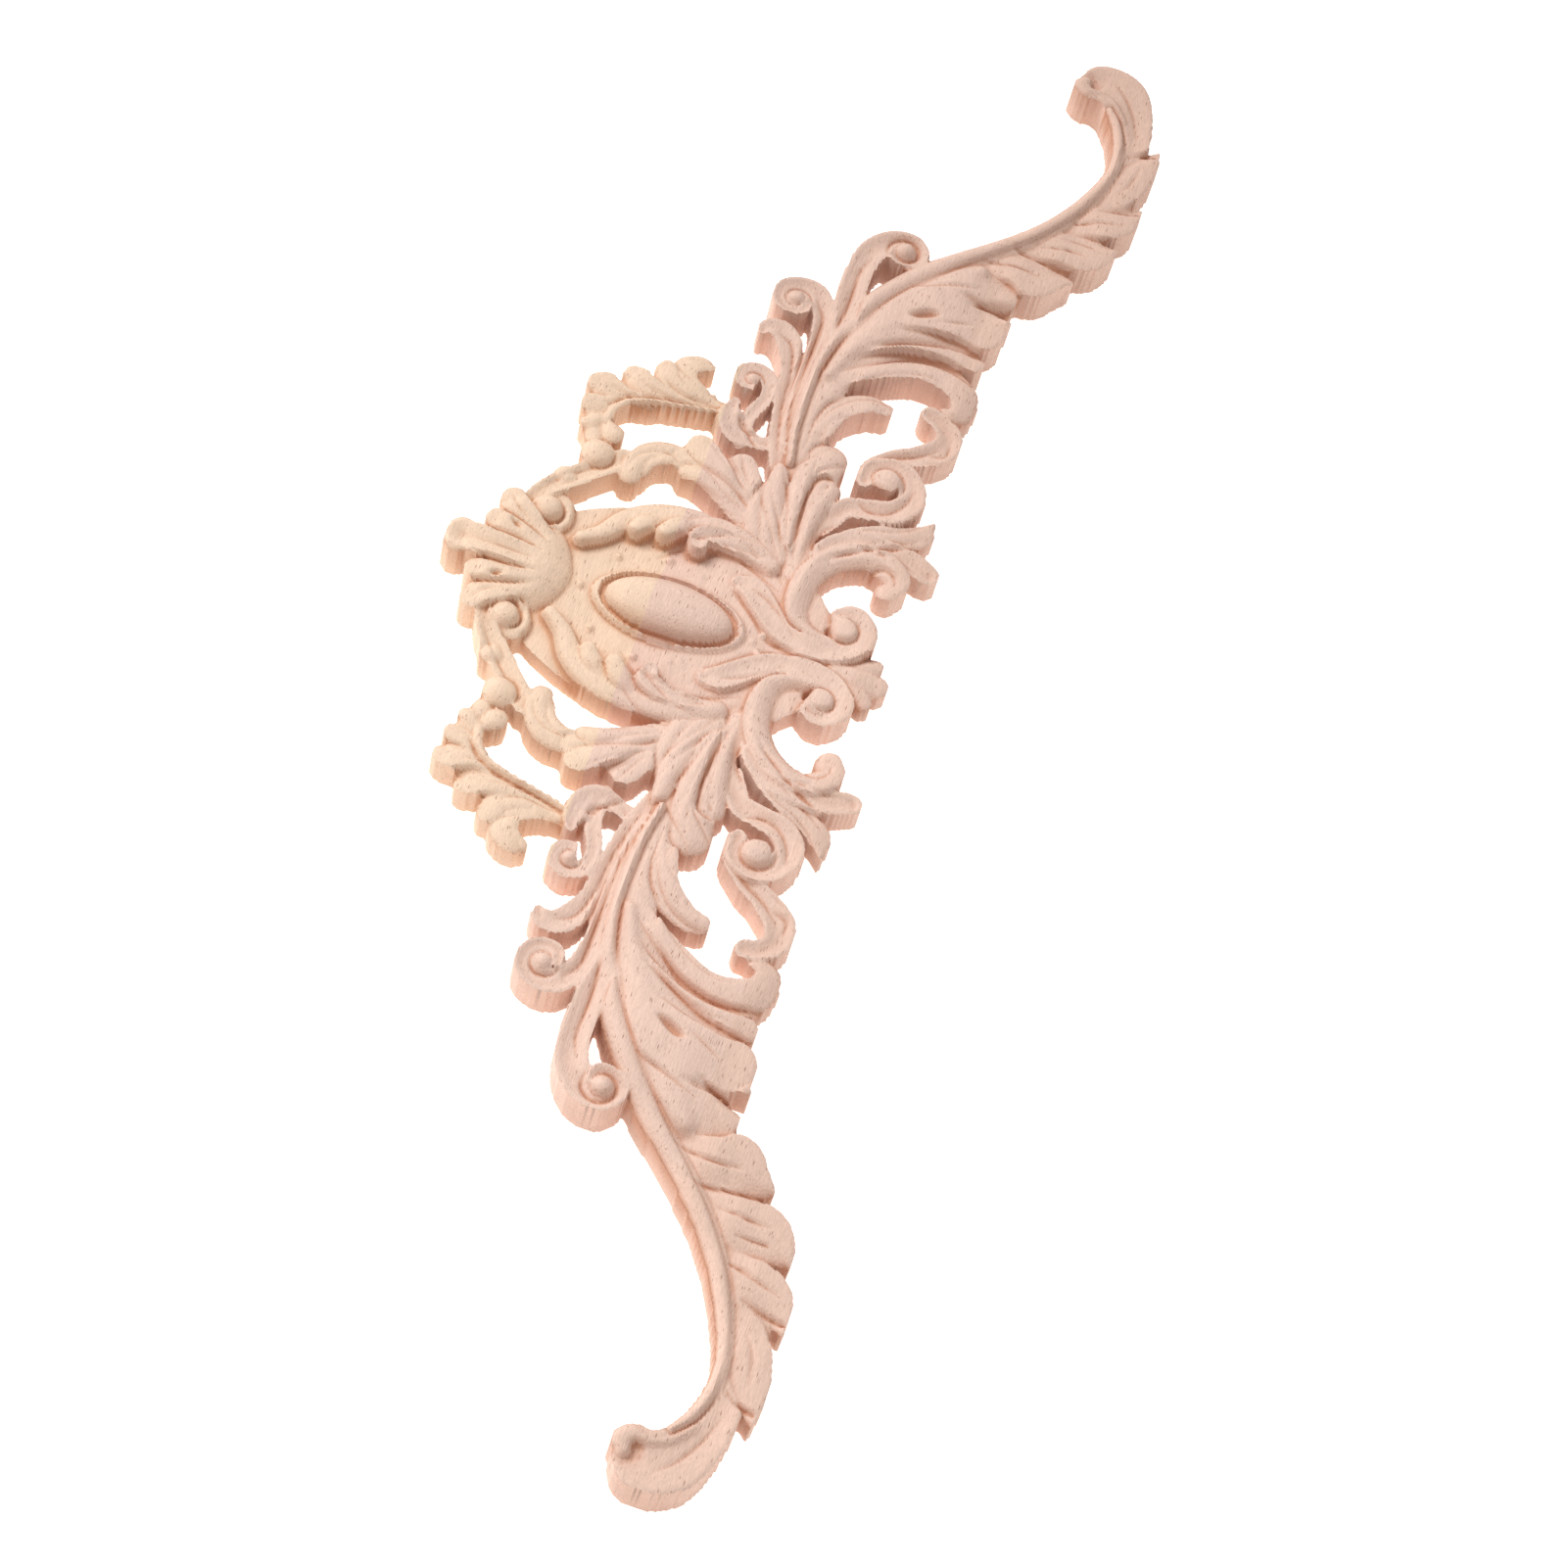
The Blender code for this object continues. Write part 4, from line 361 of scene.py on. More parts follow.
# The pierced loop at the side, a curved leaf of the palest strip. Its inside is sawn out, a thin rim is left
# along the hole, and six lobes fan out from the rim, most of them low on their inner side.
LOOP = [
    ("loop web", "round", 1.4, 0,
     [(49, 37, 3, 9), (54.5, 38.4, 3.4, 8.8), (61, 38.8, 4.6, 8.6), (66.4, 36.6, 5, 8.6),
      (69.8, 31, 5.2, 8.6), (72.4, 24.6, 5.6, 8.6), (73.6, 17.4, 5.2, 8.6), (73.8, 10, 3.6, 8.4),
      (74.4, 3, 3, 8.2)]),
    ("loop lobe 1", "in", 2, 0.4,
     [(74.4, 5, 2.2, 9.2), (75.4, 13, 3.2, 9.8), (79, 19, 3.8, 10.2), (84, 20, 4, 10),
      (87, 16.6, 3.4, 9.6), (87.2, 13.6, 2, 9)]),
    ("loop lobe 2", "in", 2.2, 0.4,
     [(72.8, 9, 2, 9.2), (73.4, 17, 3.2, 10), (76.4, 23.4, 3.8, 10.4), (81, 25, 3.4, 10)]),
    ("loop lobe 3", "in", 2.4, 0.4,
     [(70.8, 15, 2, 9.4), (71.4, 24, 3.2, 10.2), (73.6, 30.4, 4, 10.6), (75, 33.4, 3.2, 10)]),
    ("loop lobe 4", "in", 2.4, 0.4,
     [(67.4, 25, 2, 9.4), (66.6, 33, 3, 10.2), (67.8, 39, 4.4, 10.6), (68, 41.6, 3.8, 10)]),
    ("loop lobe 5", "in", 2, 0.4, [(64.6, 33, 2, 9.4), (61.4, 38, 3, 10), (60.6, 41.2, 3.6, 10)]),
    ("loop lobe 6", "round", 1.4, 0.4, [(58, 36.6, 2, 9), (54.4, 39, 2.8, 9.6), (53.6, 40.6, 2.4, 9.4)]),
    ("loop curl", "round", 1.6, 0.4, [(56, 36, 2.2, 9), (52.2, 32.5, 3.7, 10)]),
    ("loop rim", "round", 0.8, 0,
     [(74.6, 1, 1.2, 9), (72, 7, 1.2, 9.6), (70.2, 14, 1.2, 9.9), (68.8, 20, 1.2, 10),
      (67.4, 26, 1.2, 10), (64.8, 31.6, 1.3, 10), (61, 34.8, 1.5, 9.8), (56.4, 35.8, 1.6, 9.4)]),
]
work += [(lay, form) for form in LOOP]
LOOP_CUTS = [
    ("loop vein 2", "v", tapered(0.7, 0.7, (66.1, 27.4), (66.6, 32.6), (67.5, 36.7), (67.3, 40.2))),
    ("loop vein 3", "v", tapered(0.7, 0.7, (69.7, 17.5), (70.7, 21.8), (71.6, 26.9), (72.5, 30.6))),
    ("loop vein 4", "v",
     tapered(0.8, 0.9, (73.6, 6.4), (73.6, 11.1), (73.2, 16.3), (74.6, 21.2), (77, 24.4))),
    ("loop vein 5", "v", tapered(0.7, 0.7, (78.3, 15.9), (80.2, 18.7), (82.8, 23.1))),
    ("loop rim line", "left",
     [(73.6, 5, 0.9, 0.6), (71.8, 12, 1.1, 1), (70.4, 19, 1.2, 1.1), (69, 26, 1.2, 1.1),
      (66.4, 32.2, 1.2, 1.1), (62, 36.4, 1, 0.8)]),
]
work += [(cut, groove) for groove in LOOP_CUTS]

# Ribbons that tie the fan to the loop and to the leaves, with round beads on them. They are bands sawn free
# on both sides, the long one with a hollow face and the short ones rounded.
RIBBONS = [
    ("bead ground", "round", 1.2, 0, [(19.5, 41, 7.7, 9.6)]),
    ("ribbon 1", "cove", 1.2, 0,
     [(15, 38.6, 1.6, 10.4), (13.8, 42.6, 2.2, 10.6), (16, 46.2, 2.3, 10.8), (20, 47, 2.4, 10.8),
      (25, 44.3, 3.2, 10.6), (30.5, 40.3, 3.8, 10.2), (35.5, 35.8, 3.8, 9.8), (40.5, 31.3, 3.8, 9.6),
      (44.8, 26.8, 3.6, 9.6)]),
    ("bead", "round", 2.4, 0, [(19.5, 41, 4.3, 12.4)]),
    ("ribbon ball", "round", 2, 0, [(32.8, 40.5, 3.5, 10.6)]),
    ("ribbon 2", "round", 1.6, 0,
     [(40.3, 23.4, 3.5, 10.2), (44.5, 23, 4, 10.2), (49, 20.8, 4.4, 10.2), (51.8, 16.2, 4.3, 10),
      (52, 10, 3.8, 10)]),
    ("ribbon 3", "round", 1, 0.3,
     [(41.5, 20.4, 1.3, 9.4), (46.2, 18.8, 1.8, 10), (49.4, 14.8, 2.1, 10.2), (49.4, 9, 2, 10.2)]),
    ("crossing ball", "round", 2.4, 0, [(43.6, 34.4, 5.2, 11.4)]),
]
work += [(lay, form) for form in RIBBONS]
RIBBONS_CUTS = [
    ("bead whorl", "v", whorl(19.5, 41, 4.2, 5.4, 330, -260, 1, 1.6)),
    ("ribbon 1 line", "v",
     [(24, 46, 0.5, 0.2), (30, 42, 0.8, 0.7), (36, 36.6, 0.8, 0.7), (41.6, 31, 0.5, 0.2)]),
    ("crossing line", "v", whorl(43.6, 34.4, 4.6, 5.4, 150, 160, 0.8, 0.8)),
    ("ribbon 2 line", "v",
     [(42, 25, 0.5, 0.3), (47, 23.4, 0.8, 0.8), (50.4, 19, 0.8, 0.8), (51.4, 12, 0.5, 0.3)]),
]
work += [(cut, groove) for groove in RIBBONS_CUTS]

# A small folded leaf with a scroll, between the loop and the arm. Its fold is cut with a parting tool and its
# scroll with a small round gouge.
SMALL_LEAF = [
    ("small leaf", "cove", 1, 0.2,
     [(68, -12.5, 2.4, 8.6), (66, -6.5, 2.8, 9.4), (66.8, -0.5, 4.6, 10.6), (71.6, 3, 3.8, 11),
      (77, 3.2, 1.8, 10)]),
    ("scroll 1", "cove", 0.8, 0.15,
     [(63, -2.4, 2, 9.6), (68, -1.6, 2.4, 10), (75, -2.6, 2.5, 10), (82, -5, 2.3, 10),
      (88.4, -4, 2.7, 10.2), (90.6, 0, 2.6, 10.4), (88.6, 3.8, 2.5, 10.6), (84.8, 3.6, 2.2, 10.8),
      (83.4, 0.6, 1.8, 11)]),
    ("scroll 1 eye", "round", 1.4, 0, [(86.6, 0.3, 2.1, 11.4)]),
]
work += [(lay, form) for form in SMALL_LEAF]
SMALL_LEAF_CUTS = [
    ("scroll 1 whorl", "v", whorl(86.6, 0.2, 1.9, 3.4, -150, -330, 0.8, 1.2)),
    ("small leaf fold", "v",
     [(68.5, -9, 0.5, 0.4), (67.8, -4, 0.8, 1), (70, -0.6, 0.8, 1), (75, 1, 0.5, 0.4)]),
    ("small leaf vein", "v",
     tapered(0.8, 0.8, (64.5, -11.6), (64.5, -7.2), (68.4, -3), (71.2, -0.7), (71.7, 2.4))),
    ("small leaf vein 2", "v", tapered(0.6, 0.6, (67, -4.2), (72.3, -1.1), (78, -0.9), (84.9, -3.4))),
]
work += [(cut, groove) for groove in SMALL_LEAF_CUTS]

# The leaf that rises from the middle towards the loop. Its lobes are laid one behind another, with a deep rib
# and fine veins that all run back to the root.
SIDE_LEAF = [
    ("side leaf", "round", 1, 0,
     [(30, -23, 4, 9), (38, -14.5, 5, 9.4), (45, -7, 6.4, 10), (50, 1, 6.8, 10.4), (52, 7, 5.4, 10.4),
      (52.4, 11, 3.8, 10)]),
    ("side lobe 4", "round", 1, 0.5, [(38, -14, 1.8, 9.8), (42.4, -8, 2, 10), (44.8, -2, 1.9, 9.6)]),
    ("side lobe 3", "round", 1.4, 0.5,
     [(40, -12, 2, 10.4), (45, -3, 3, 11), (47.4, 4.5, 3.2, 11), (47.8, 8.6, 3, 10)]),
    ("side lobe 2", "in", 2.2, 0.5, [(38, -16, 2.4, 10.8), (48, -10, 4, 11.6), (55.4, -5.4, 4.5, 11)]),
    ("side lobe 1", "in", 2.2, 0.5, [(42, -9, 2.4, 11), (51, 0.2, 4, 12.2), (56.4, 7.4, 4.6, 11.4)]),
]
work += [(lay, form) for form in SIDE_LEAF]
SIDE_LEAF_CUTS = [
    ("side rib", "v",
     tapered(0.9, 0.9, (22.1, -27.4), (32.2, -21.2), (39.5, -14.6), (45.5, -6.9), (49.3, 1.6), (52, 8.3))),
    ("side vein 1", "v",
     tapered(0.7, 0.6, (38.4, -16.4), (45.4, -11), (50.2, -4.8), (55.7, 2), (60.1, 7.1))),
    ("side vein 2", "v", tapered(0.8, 0.8, (46.3, -11.1), (51.4, -7.7), (55.3, -5.8), (60, -3.7))),
    ("side vein 3", "v", tapered(0.6, 0.5, (48.3, -9), (53.1, -5), (56.5, -2.1))),
    ("side vein 4", "v", tapered(0.7, 0.6, (39, -12.6), (42, -6.6), (45, -0.5), (46.9, 5.9))),
    ("side vein 5", "v", tapered(0.6, 0.5, (38, -11.5), (38.7, -5.5), (40.1, -0.3))),
]
work += [(cut, groove) for groove in SIDE_LEAF_CUTS]

# The leaves that fan out over the root of the arm. Each is a rounded lobe with a vein or two, and the lines
# between them run together towards the middle of the piece.
LEAVES = [
    ("leaf 4", "round", 1.2, 0.4,
     [(27, -20, 2.4, 9.6), (36, -14.6, 2.8, 10.4), (45, -13, 2.6, 10.4), (52, -14, 1.8, 10)]),
    ("stem ground", "round", 1, 0,
     [(27, -30, 3.6, 8.8), (34, -30.4, 3, 8.8), (38, -30.8, 1.8, 8.8), (44, -31.8, 2.6, 9),
      (52, -36.4, 3.6, 9.4)]),
    ("leaf 1", "round", 2.4, 0.4,
     [(24, -26, 3, 9.6), (35, -24.4, 4, 11), (46, -24.4, 5, 12), (58, -26, 6.2, 12),
      (67.7, -27.8, 6.3, 10.6)]),
    ("leaf 3", "round", 1.6, 0.4,
     [(26, -23, 2.4, 10), (38, -19, 3.2, 11.4), (50, -17, 3.6, 11.6), (57.6, -16.4, 2.8, 11),
      (60.8, -15.3, 0.9, 10.4)]),
    ("leaf 2", "round", 2, 0.4,
     [(24, -28.6, 1.8, 9.4), (38, -28.4, 2.8, 10.8), (50, -29.2, 4, 11.4), (57.4, -30.4, 4.5, 10.4)]),
]
work += [(lay, form) for form in LEAVES]
LEAVES_CUTS = [
    ("leaf 4 vein", "v", tapered(0.7, 0.7, (27.1, -26.3), (38, -21.7), (47.1, -16.9), (53.5, -14.5))),
    ("leaf 4 edge", "v", tapered(0.8, 0.8, (25.4, -26.5), (35.5, -20.2), (42.8, -15.7), (49, -12.9))),
    ("leaf 3 vein", "v", tapered(0.8, 0.9, (27, -27.1), (38.4, -23.6), (50, -20.6), (58.8, -16.9))),
    ("leaf 1 vein", "v",
     tapered(0.7, 0.7, (29, -28.1), (39.3, -26.6), (51.6, -24.9), (61, -25.1), (68.9, -25.8))),
    ("leaf 1 vein 2", "v", tapered(0.6, 0.5, (33.7, -26.4), (45.8, -24.5), (56.3, -22.8), (64.4, -21.9))),
    ("leaf 2 vein", "v",
     tapered(0.7, 0.7, (27.8, -28.9), (39.4, -28.1), (49.4, -27.8), (56.6, -29.4), (60, -32.9))),
    ("leaf 2 edge", "left",
     tapered(1.4, 1.3, (31.1, -28), (43.3, -26.6), (54.1, -25.7), (61.1, -26.6), (67.1, -32.3))),
    ("leaf 1 low vein", "v", tapered(0.7, 0.6, (59.6, -17.5), (65.2, -22.1), (70, -26.3), (73.2, -28.7))),
    ("leaf 2 low vein", "v",
     tapered(0.7, 0.7, (47.3, -26.4), (52.8, -29.5), (57.3, -30.5), (61.7, -30.1))),
]
work += [(cut, groove) for groove in LEAVES_CUTS]

# The spiral under the leaves and the ribbon that leaves it for the arm. The band is hollowed along its middle
# and winds round a domed eye.
SPIRAL = [
    ("s ribbon", "cove", 1.4, 0.15,
     [(64, -38.8, 1.8, 10), (70, -40, 2.6, 10.2), (75.2, -45, 3.2, 10.2), (79.6, -52.4, 3.9, 10),
      (84.6, -58, 4.6, 9.6), (90.6, -59, 3.9, 9.4), (94.6, -55, 3.4, 9.6), (95.6, -51.7, 3.2, 10)]),
    ("spiral", "cove", 1.5, 0.15,
     [(44, -33, 2.6, 9.6), (53, -37.4, 3.7, 10), (55.3, -44, 3.9, 10.2), (57.2, -50.6, 4.3, 10.4),
      (63, -54.4, 4.4, 10.6), (69.6, -52, 3.9, 10.8), (72.4, -46.6, 3.4, 11), (70, -41.2, 3, 11.2),
      (64.4, -40, 2.8, 11.4)]),
    ("spiral eye", "round", 1.2, 0, [(66.6, -46, 4.2, 12.2)]),
]
work += [(lay, form) for form in SPIRAL]
SPIRAL_CUTS = [
    ("spiral rim", "v",
     tapered(0.8, 0.8, (58.3, -38), (55.3, -43.4), (56.6, -49.4), (61.6, -53.3), (66.8, -54.5))),
    ("s ribbon fold", "v", tapered(0.8, 0.9, (73.2, -41.3), (77.2, -47.3), (80.1, -52.3), (84.6, -57.1))),
    ("s ribbon fold 2", "v", tapered(0.8, 0.9, (75.7, -51), (78.6, -56), (80.1, -60.3))),
    ("s ribbon fold 3", "v", tapered(0.9, 1, (81.7, -55.6), (83.3, -59.6), (87.2, -60))),
    ("spiral whorl", "v", whorl(66.6, -46, 3.6, 6.4, 200, -430, 0.9, 1)),
]
work += [(cut, groove) for groove in SPIRAL_CUTS]

# The c-shaped scroll round the lower opening, with two leaves on its back. Its face slopes down towards the
# opening, and its ends curl in.
C_SCROLL = [
    ("scroll leaf 2", "out", 1.6, 0.2,
     [(37.6, -35, 1.2, 9.6), (44, -41, 2.3, 10.4), (48, -48, 3, 10), (50.2, -55, 3.7, 9),
      (53.2, -60, 3.8, 8.4), (57.4, -62.2, 1.8, 7.8), (60, -63, 0.6, 7.4)]),
    ("scroll leaf 1", "cove", 1, 0.2,
     [(30, -33, 1.8, 10), (37.5, -36.6, 3.4, 10.6), (43, -43, 3.6, 10.6), (44.2, -51, 3.7, 10.2),
      (43.6, -58, 4, 9.4), (41.6, -64, 3.9, 8.8), (40.9, -66.2, 3.3, 8.4)]),
    ("c scroll", "out", 3.8, 0.04,
     [(14.4, -47.8, 1.4, 9.4), (10.8, -48.2, 1.8, 9.8), (9, -44, 2, 10), (9.8, -38.8, 2.6, 10.4),
      (13, -34.9, 3.6, 10.8), (19, -33.5, 4, 11.2), (26, -34.3, 4.1, 11.4), (32.5, -37.4, 4.3, 11.4),
      (37.3, -42.5, 4.3, 11.4), (39.5, -48.5, 4.1, 11.2), (38.7, -54.4, 4.4, 11),
      (34.6, -58, 4.1, 10.6), (31.2, -56.6, 4, 10.2)]),
]
work += [(lay, form) for form in C_SCROLL]
C_SCROLL_CUTS = [
    ("c scroll line", "v",
     tapered(0.8, 0.8, (17.9, -31.1), (25.1, -31.2), (32.5, -33.4), (37.9, -37.7), (41.1, -44.1),
             (41.1, -51.5), (38.6, -56.5))),
    ("c leaf 1 edge", "right",
     tapered(1.6, 1.6, (34.5, -38.1), (40.5, -46.2), (44.4, -53), (47.6, -59.5))),
    ("c leaf 1 vein", "v",
     tapered(0.8, 0.8, (30.7, -35.5), (36.7, -41.5), (40.5, -49), (41.7, -56.3), (39.8, -62.8))),
    ("c leaf 2 vein", "v",
     tapered(0.7, 0.7, (42.8, -38.5), (48.3, -45.7), (50.7, -52), (54.4, -57.3), (58.8, -60.6))),
    ("c leaf 2 ridge", "v", tapered(0.6, 0.6, (43.7, -46.5), (47.2, -52.4), (49.4, -57.2), (53.8, -62.7))),
    ("curl whorl", "v", whorl(33.4, -53.4, 2.6, 4.4, 150, -260, 0.9, 1.2)),
]
work += [(cut, groove) for groove in C_SCROLL_CUTS]

# The pair of stems that run down from the oval, cross the scrolls and curl over the palmette. Each starts as
# a broad leaf with two veins and ends in a curl with a deep whorl.
STEM = [
    ("pendant stem", "cove", 0.9, 0,
     [(17, -16.8, 3, 9.6), (15.8, -21, 4.4, 10), (10.6, -26.5, 4.4, 9.8), (5.8, -32, 3.8, 9.4),
      (3.9, -38.5, 3.9, 9.4), (4.2, -45, 4.2, 9.6), (7.4, -51, 4.8, 10), (12.6, -53.4, 5, 10.2),
      (17.2, -50.4, 4.2, 10.4), (16.6, -46.6, 3, 10.2)]),
    ("pendant curl", "round", 1.2, 0, [(12.4, -49, 4.2, 11.2), (13.4, -48.4, 4.2, 11.2)]),
]
work += [(lay, form) for form in STEM]
STEM_CUTS = [
    ("stem vein", "v", tapered(0.8, 0.9, (16.1, -20.7), (14, -25.6), (10, -31.1), (5.6, -35.7))),
    ("stem vein 2", "v",
     tapered(0.7, 0.7, (13.9, -15.5), (8.3, -22.2), (1.9, -29.2), (1.2, -36.9), (1.1, -44.7))),
    ("pendant pit", "u", [(9.6, -45.6, 0.9, 0.8), (11.6, -44.6, 1.5, 2.4), (13.6, -45.4, 0.9, 0.8)]),
    ("pendant whorl", "v", whorl(12.8, -48.8, 3.2, 4.8, 40, -300, 0.9, 1.3)),
]
work += [(cut, groove) for groove in STEM_CUTS]

# The domed oval in the middle, left at the full height of the blank. It is rounded over smoothly, with a
# gutter cut round it and a thin ring left standing round the gutter.
OVAL = {
    "y": -0.7, "rx": 9, "ry": 18.6, "base": 8.2, "top": 14.6, "fullness": 0.9, "ring_rx": 10.5,
    "ring_ry": 20.4, "ring_width": 1, "ring_z": 9.6, "ring_drop": 1.2, "gutter": 7.6,
}
work.append((dome, OVAL))

# The border of the shield, a rounded moulding with lobes that lap over the ground and a hooked leaf. The
# ground inside it is cut down evenly, so that the border throws a soft shadow.
BORDER = [
    ("border", "round", 1.6, 0,
     [(13.8, 29.6, 2.6, 11), (18, 24.6, 3.2, 10.6), (24, 20.3, 4, 10.4), (28.4, 14.4, 4.6, 10.4),
      (30.8, 7, 4.8, 10.4), (31.6, 0, 4.6, 10.6), (31.6, -8, 4.4, 10.8), (29.6, -15, 4, 10.6),
      (26, -23, 3.2, 10)]),
    ("border lobe 1", "round", 1.4, 0.5, [(27, 8, 2.6, 11), (25, 13.6, 3.2, 12), (21.9, 16, 2.8, 12.4)]),
    ("border lobe 2", "round", 1.4, 0.5, [(29, -2, 2.8, 11.4), (27.6, 4.6, 3.4, 12.4), (23.6, 8, 3, 13)]),
    ("border lobe 3", "cove", 1, 0.4,
     [(25.6, -22, 2.2, 10.6), (27.4, -14, 3, 11.6), (27.8, -7, 3.5, 12.6), (25.8, -2, 3.5, 13.2),
      (22.8, -2, 3, 13.2)]),
]
work += [(lay, form) for form in BORDER]
BORDER_CUTS = [
    ("border leaf vein", "v",
     tapered(0.8, 0.9, (23.7, -0.2), (25.4, -4.1), (25.6, -10.9), (22.8, -19.4), (19.2, -27.3))),
    ("border leaf vein 2", "v",
     tapered(0.6, 0.6, (27.4, -1.9), (30.3, -8.7), (28.3, -15.3), (23.9, -22.6))),
    ("border low vein", "v", tapered(0.8, 0.9, (21.4, -4.3), (25.6, -8.9), (26.7, -15.9), (26.4, -20))),
    ("border low vein 2", "v",
     tapered(0.9, 0.9, (17.1, 7.5), (21.5, 3.2), (25.3, -2.2), (30.1, -10.3), (31.2, -17.3))),
    ("border low vein 3", "v", tapered(0.7, 0.7, (25.9, 7.6), (32.5, 1.3), (36.6, -5.8), (36.2, -14))),
]
work += [(cut, groove) for groove in BORDER_CUTS]

# The five petals of the fan on its domed root. The middle one is flat-ended and the longest, and the gaps
# between them are cut with a parting tool and deepen outwards.
PETALS = [
    ("petal 3", "in", 1.6, 0.5,
     [(8.6, 36, 2, 11), (12.2, 43.2, 3.6, 12.2), (15.6, 48.8, 4.4, 12.6), (17.8, 51, 4.1, 11.8)]),
    ("petal 2", "in", 1.2, 0.5,
     [(4.6, 36, 2, 11.8), (6.8, 44, 3.4, 12.8), (8.4, 50.6, 4.1, 13.2), (9, 52.8, 3.7, 12.6)]),
    ("petal 1 head", "round", 1.4, 0, [(0, 60.8, 4.4, 12.6), (2, 60.8, 4.4, 12.6)]),
    ("petal 1", "cove", 1.2, 0.5,
     [(0, 34, 3, 12.4), (0, 44, 4.4, 13.4), (0, 52, 5, 13.8), (0, 57.4, 5.2, 13.4), (0, 60, 5.4, 12.8)]),
]
work += [(lay, form) for form in PETALS]
PETALS_CUTS = [
    ("fan eye 1", "u", tapered(1.2, 2, (10.1, 49.1), (9.1, 47.5), (8.3, 45.9))),
    ("petal gap 1", "v", [(3.6, 38, 0.6, 0.4), (4.6, 45, 0.9, 1), (5, 52, 1, 1.4), (5.6, 56.6, 1, 1.6)]),
    ("petal gap 2", "v",
     [(7.4, 37, 0.6, 0.4), (9.6, 43, 0.9, 1), (11.6, 48.6, 1, 1.4), (13, 53.6, 1, 1.6)]),
    ("petal 3 vein", "v", [(11.8, 44, 0.6, 0.4), (15, 48.6, 0.8, 0.9), (19, 51.8, 0.5, 0.3)]),
    ("petal 1 flute", "v",
     [(0, 40, 0.6, 0.3), (0, 48, 0.9, 0.6), (0.2, 56, 0.8, 0.5), (0.4, 61, 0.6, 0.3)]),
]
work += [(cut, groove) for groove in PETALS_CUTS]

# Small round seeds on the ground of the shield, all alike, left standing when the ground was cut down.
SEED_PLACES = [(0, 25), (13, 18), (17.5, 4), (15.5, -6), (15, -15), (0, -25.5), (3, -27.6)]
work += [(lay, ("seed", "round", 0.8, 0, [(x, y, 1.3, 8.3)])) for x, y in SEED_PLACES]


# The sawn and carved blank as a mesh. The router follows the drawing, so the carved face is a height over a
# square grid, cut along the outline. The walls drop straight to the flat back, as the saw leaves them.
PITCH = 0.6  # between the points of the grid
HALF_LENGTH, LOWEST, HIGHEST = 252.0, -96.0, 70.2  # where the grid ends, past the outline on every side
ARRIS, ARRIS_WIDTH = 0.45, 0.9  # how deep, and how far in, the sharp rim of the face is worn down
CLEAR = 0.09  # least depth inside or outside at a point, so that the outline leaves no slivers
SOFTNESS = 0.5  # reach in points over which the face is smoothed
# The hollows measured below set the painted shade in recesses of the wood's colour.
BROAD_REACH, BROAD_SHARE = 4, 0.4  # reach in points of the wide hollows, and how much they tell
NARROW_REACH, NARROW_SHARE = 1.3, 1.5  # the same for the narrow ones
BELL_END = 3  # reaches out to which a bell curve is followed
EASING_ROUNDS = 3  # of taking the grid's steps out of the outline
BATCH = 500  # spots tested at a time
MERGE = 1e-6  # points of the back closer than this count as one
SHARP = math.radians(50)  # edges with a sharper bend are drawn crisp
MM = 1000  # in a metre


def carve(x, y):
    """Depth inside the outline and height of the face: every step of the work in turn, at x and y."""
    flat_x, flat_y = x.ravel(), y.ravel()
    inside, height = np.full(flat_x.shape, -FAR), np.zeros(flat_x.shape)
    for step, values in work:
        step(flat_x, flat_y, inside, height, values)
    return inside.reshape(x.shape), height.reshape(x.shape)


def turned(corners, first):
    """Each triangle's corners turned so that the one marked in first leads."""
    start = first.argmax(1)[:, None]
    return np.take_along_axis(corners, (start + np.arange(3)) % 3, 1)


def cut_out(points, inside, triangles):
    """Trims the triangles to where inside is above 0, and returns points, triangles and outline edges.

    An edge of the grid that crosses the outline is cut where a straight line between its two values is 0.
    With -FAR outside, that is close to its inner end. A triangle with one corner inside keeps its tip, and
    one with two keeps a four-sided piece, cut in two.
    """
    inside = np.where(inside > 0, np.maximum(inside, CLEAR), np.minimum(inside, -CLEAR))
    within = inside[triangles] > 0
    count = within.sum(1)
    tips = turned(triangles[count == 1], within[count == 1])
    wides = turned(triangles[count == 2], ~within[count == 2])
    ends = np.concatenate([tips[:, [0, 1]], tips[:, [0, 2]], wides[:, [0, 1]], wides[:, [0, 2]]])
    ends, place = np.unique(np.sort(ends, axis=1), axis=0, return_inverse=True)
    share = (inside[ends[:, 0]] / (inside[ends[:, 0]] - inside[ends[:, 1]]))[:, None]
    crossings = points[ends[:, 0]] + share * (points[ends[:, 1]] - points[ends[:, 0]])
    place = place.ravel() + len(points)
    tip_next, tip_last, wide_next, wide_last = np.split(place, np.cumsum([len(tips)] * 2 + [len(wides)]))
    kept = np.concatenate([
        triangles[count == 3],
        np.column_stack([tips[:, 0], tip_next, tip_last]),
        np.column_stack([wide_next, wides[:, 1], wides[:, 2]]),
        np.column_stack([wide_next, wides[:, 2], wide_last]),
    ])
    edges = np.concatenate([np.column_stack([tip_next, tip_last]), np.column_stack([wide_last, wide_next])])
    used = np.unique(kept)
    order = np.zeros(len(points) + len(crossings), int)
    order[used] = np.arange(len(used))
    return np.concatenate([points, crossings])[used], order[kept], order[edges]


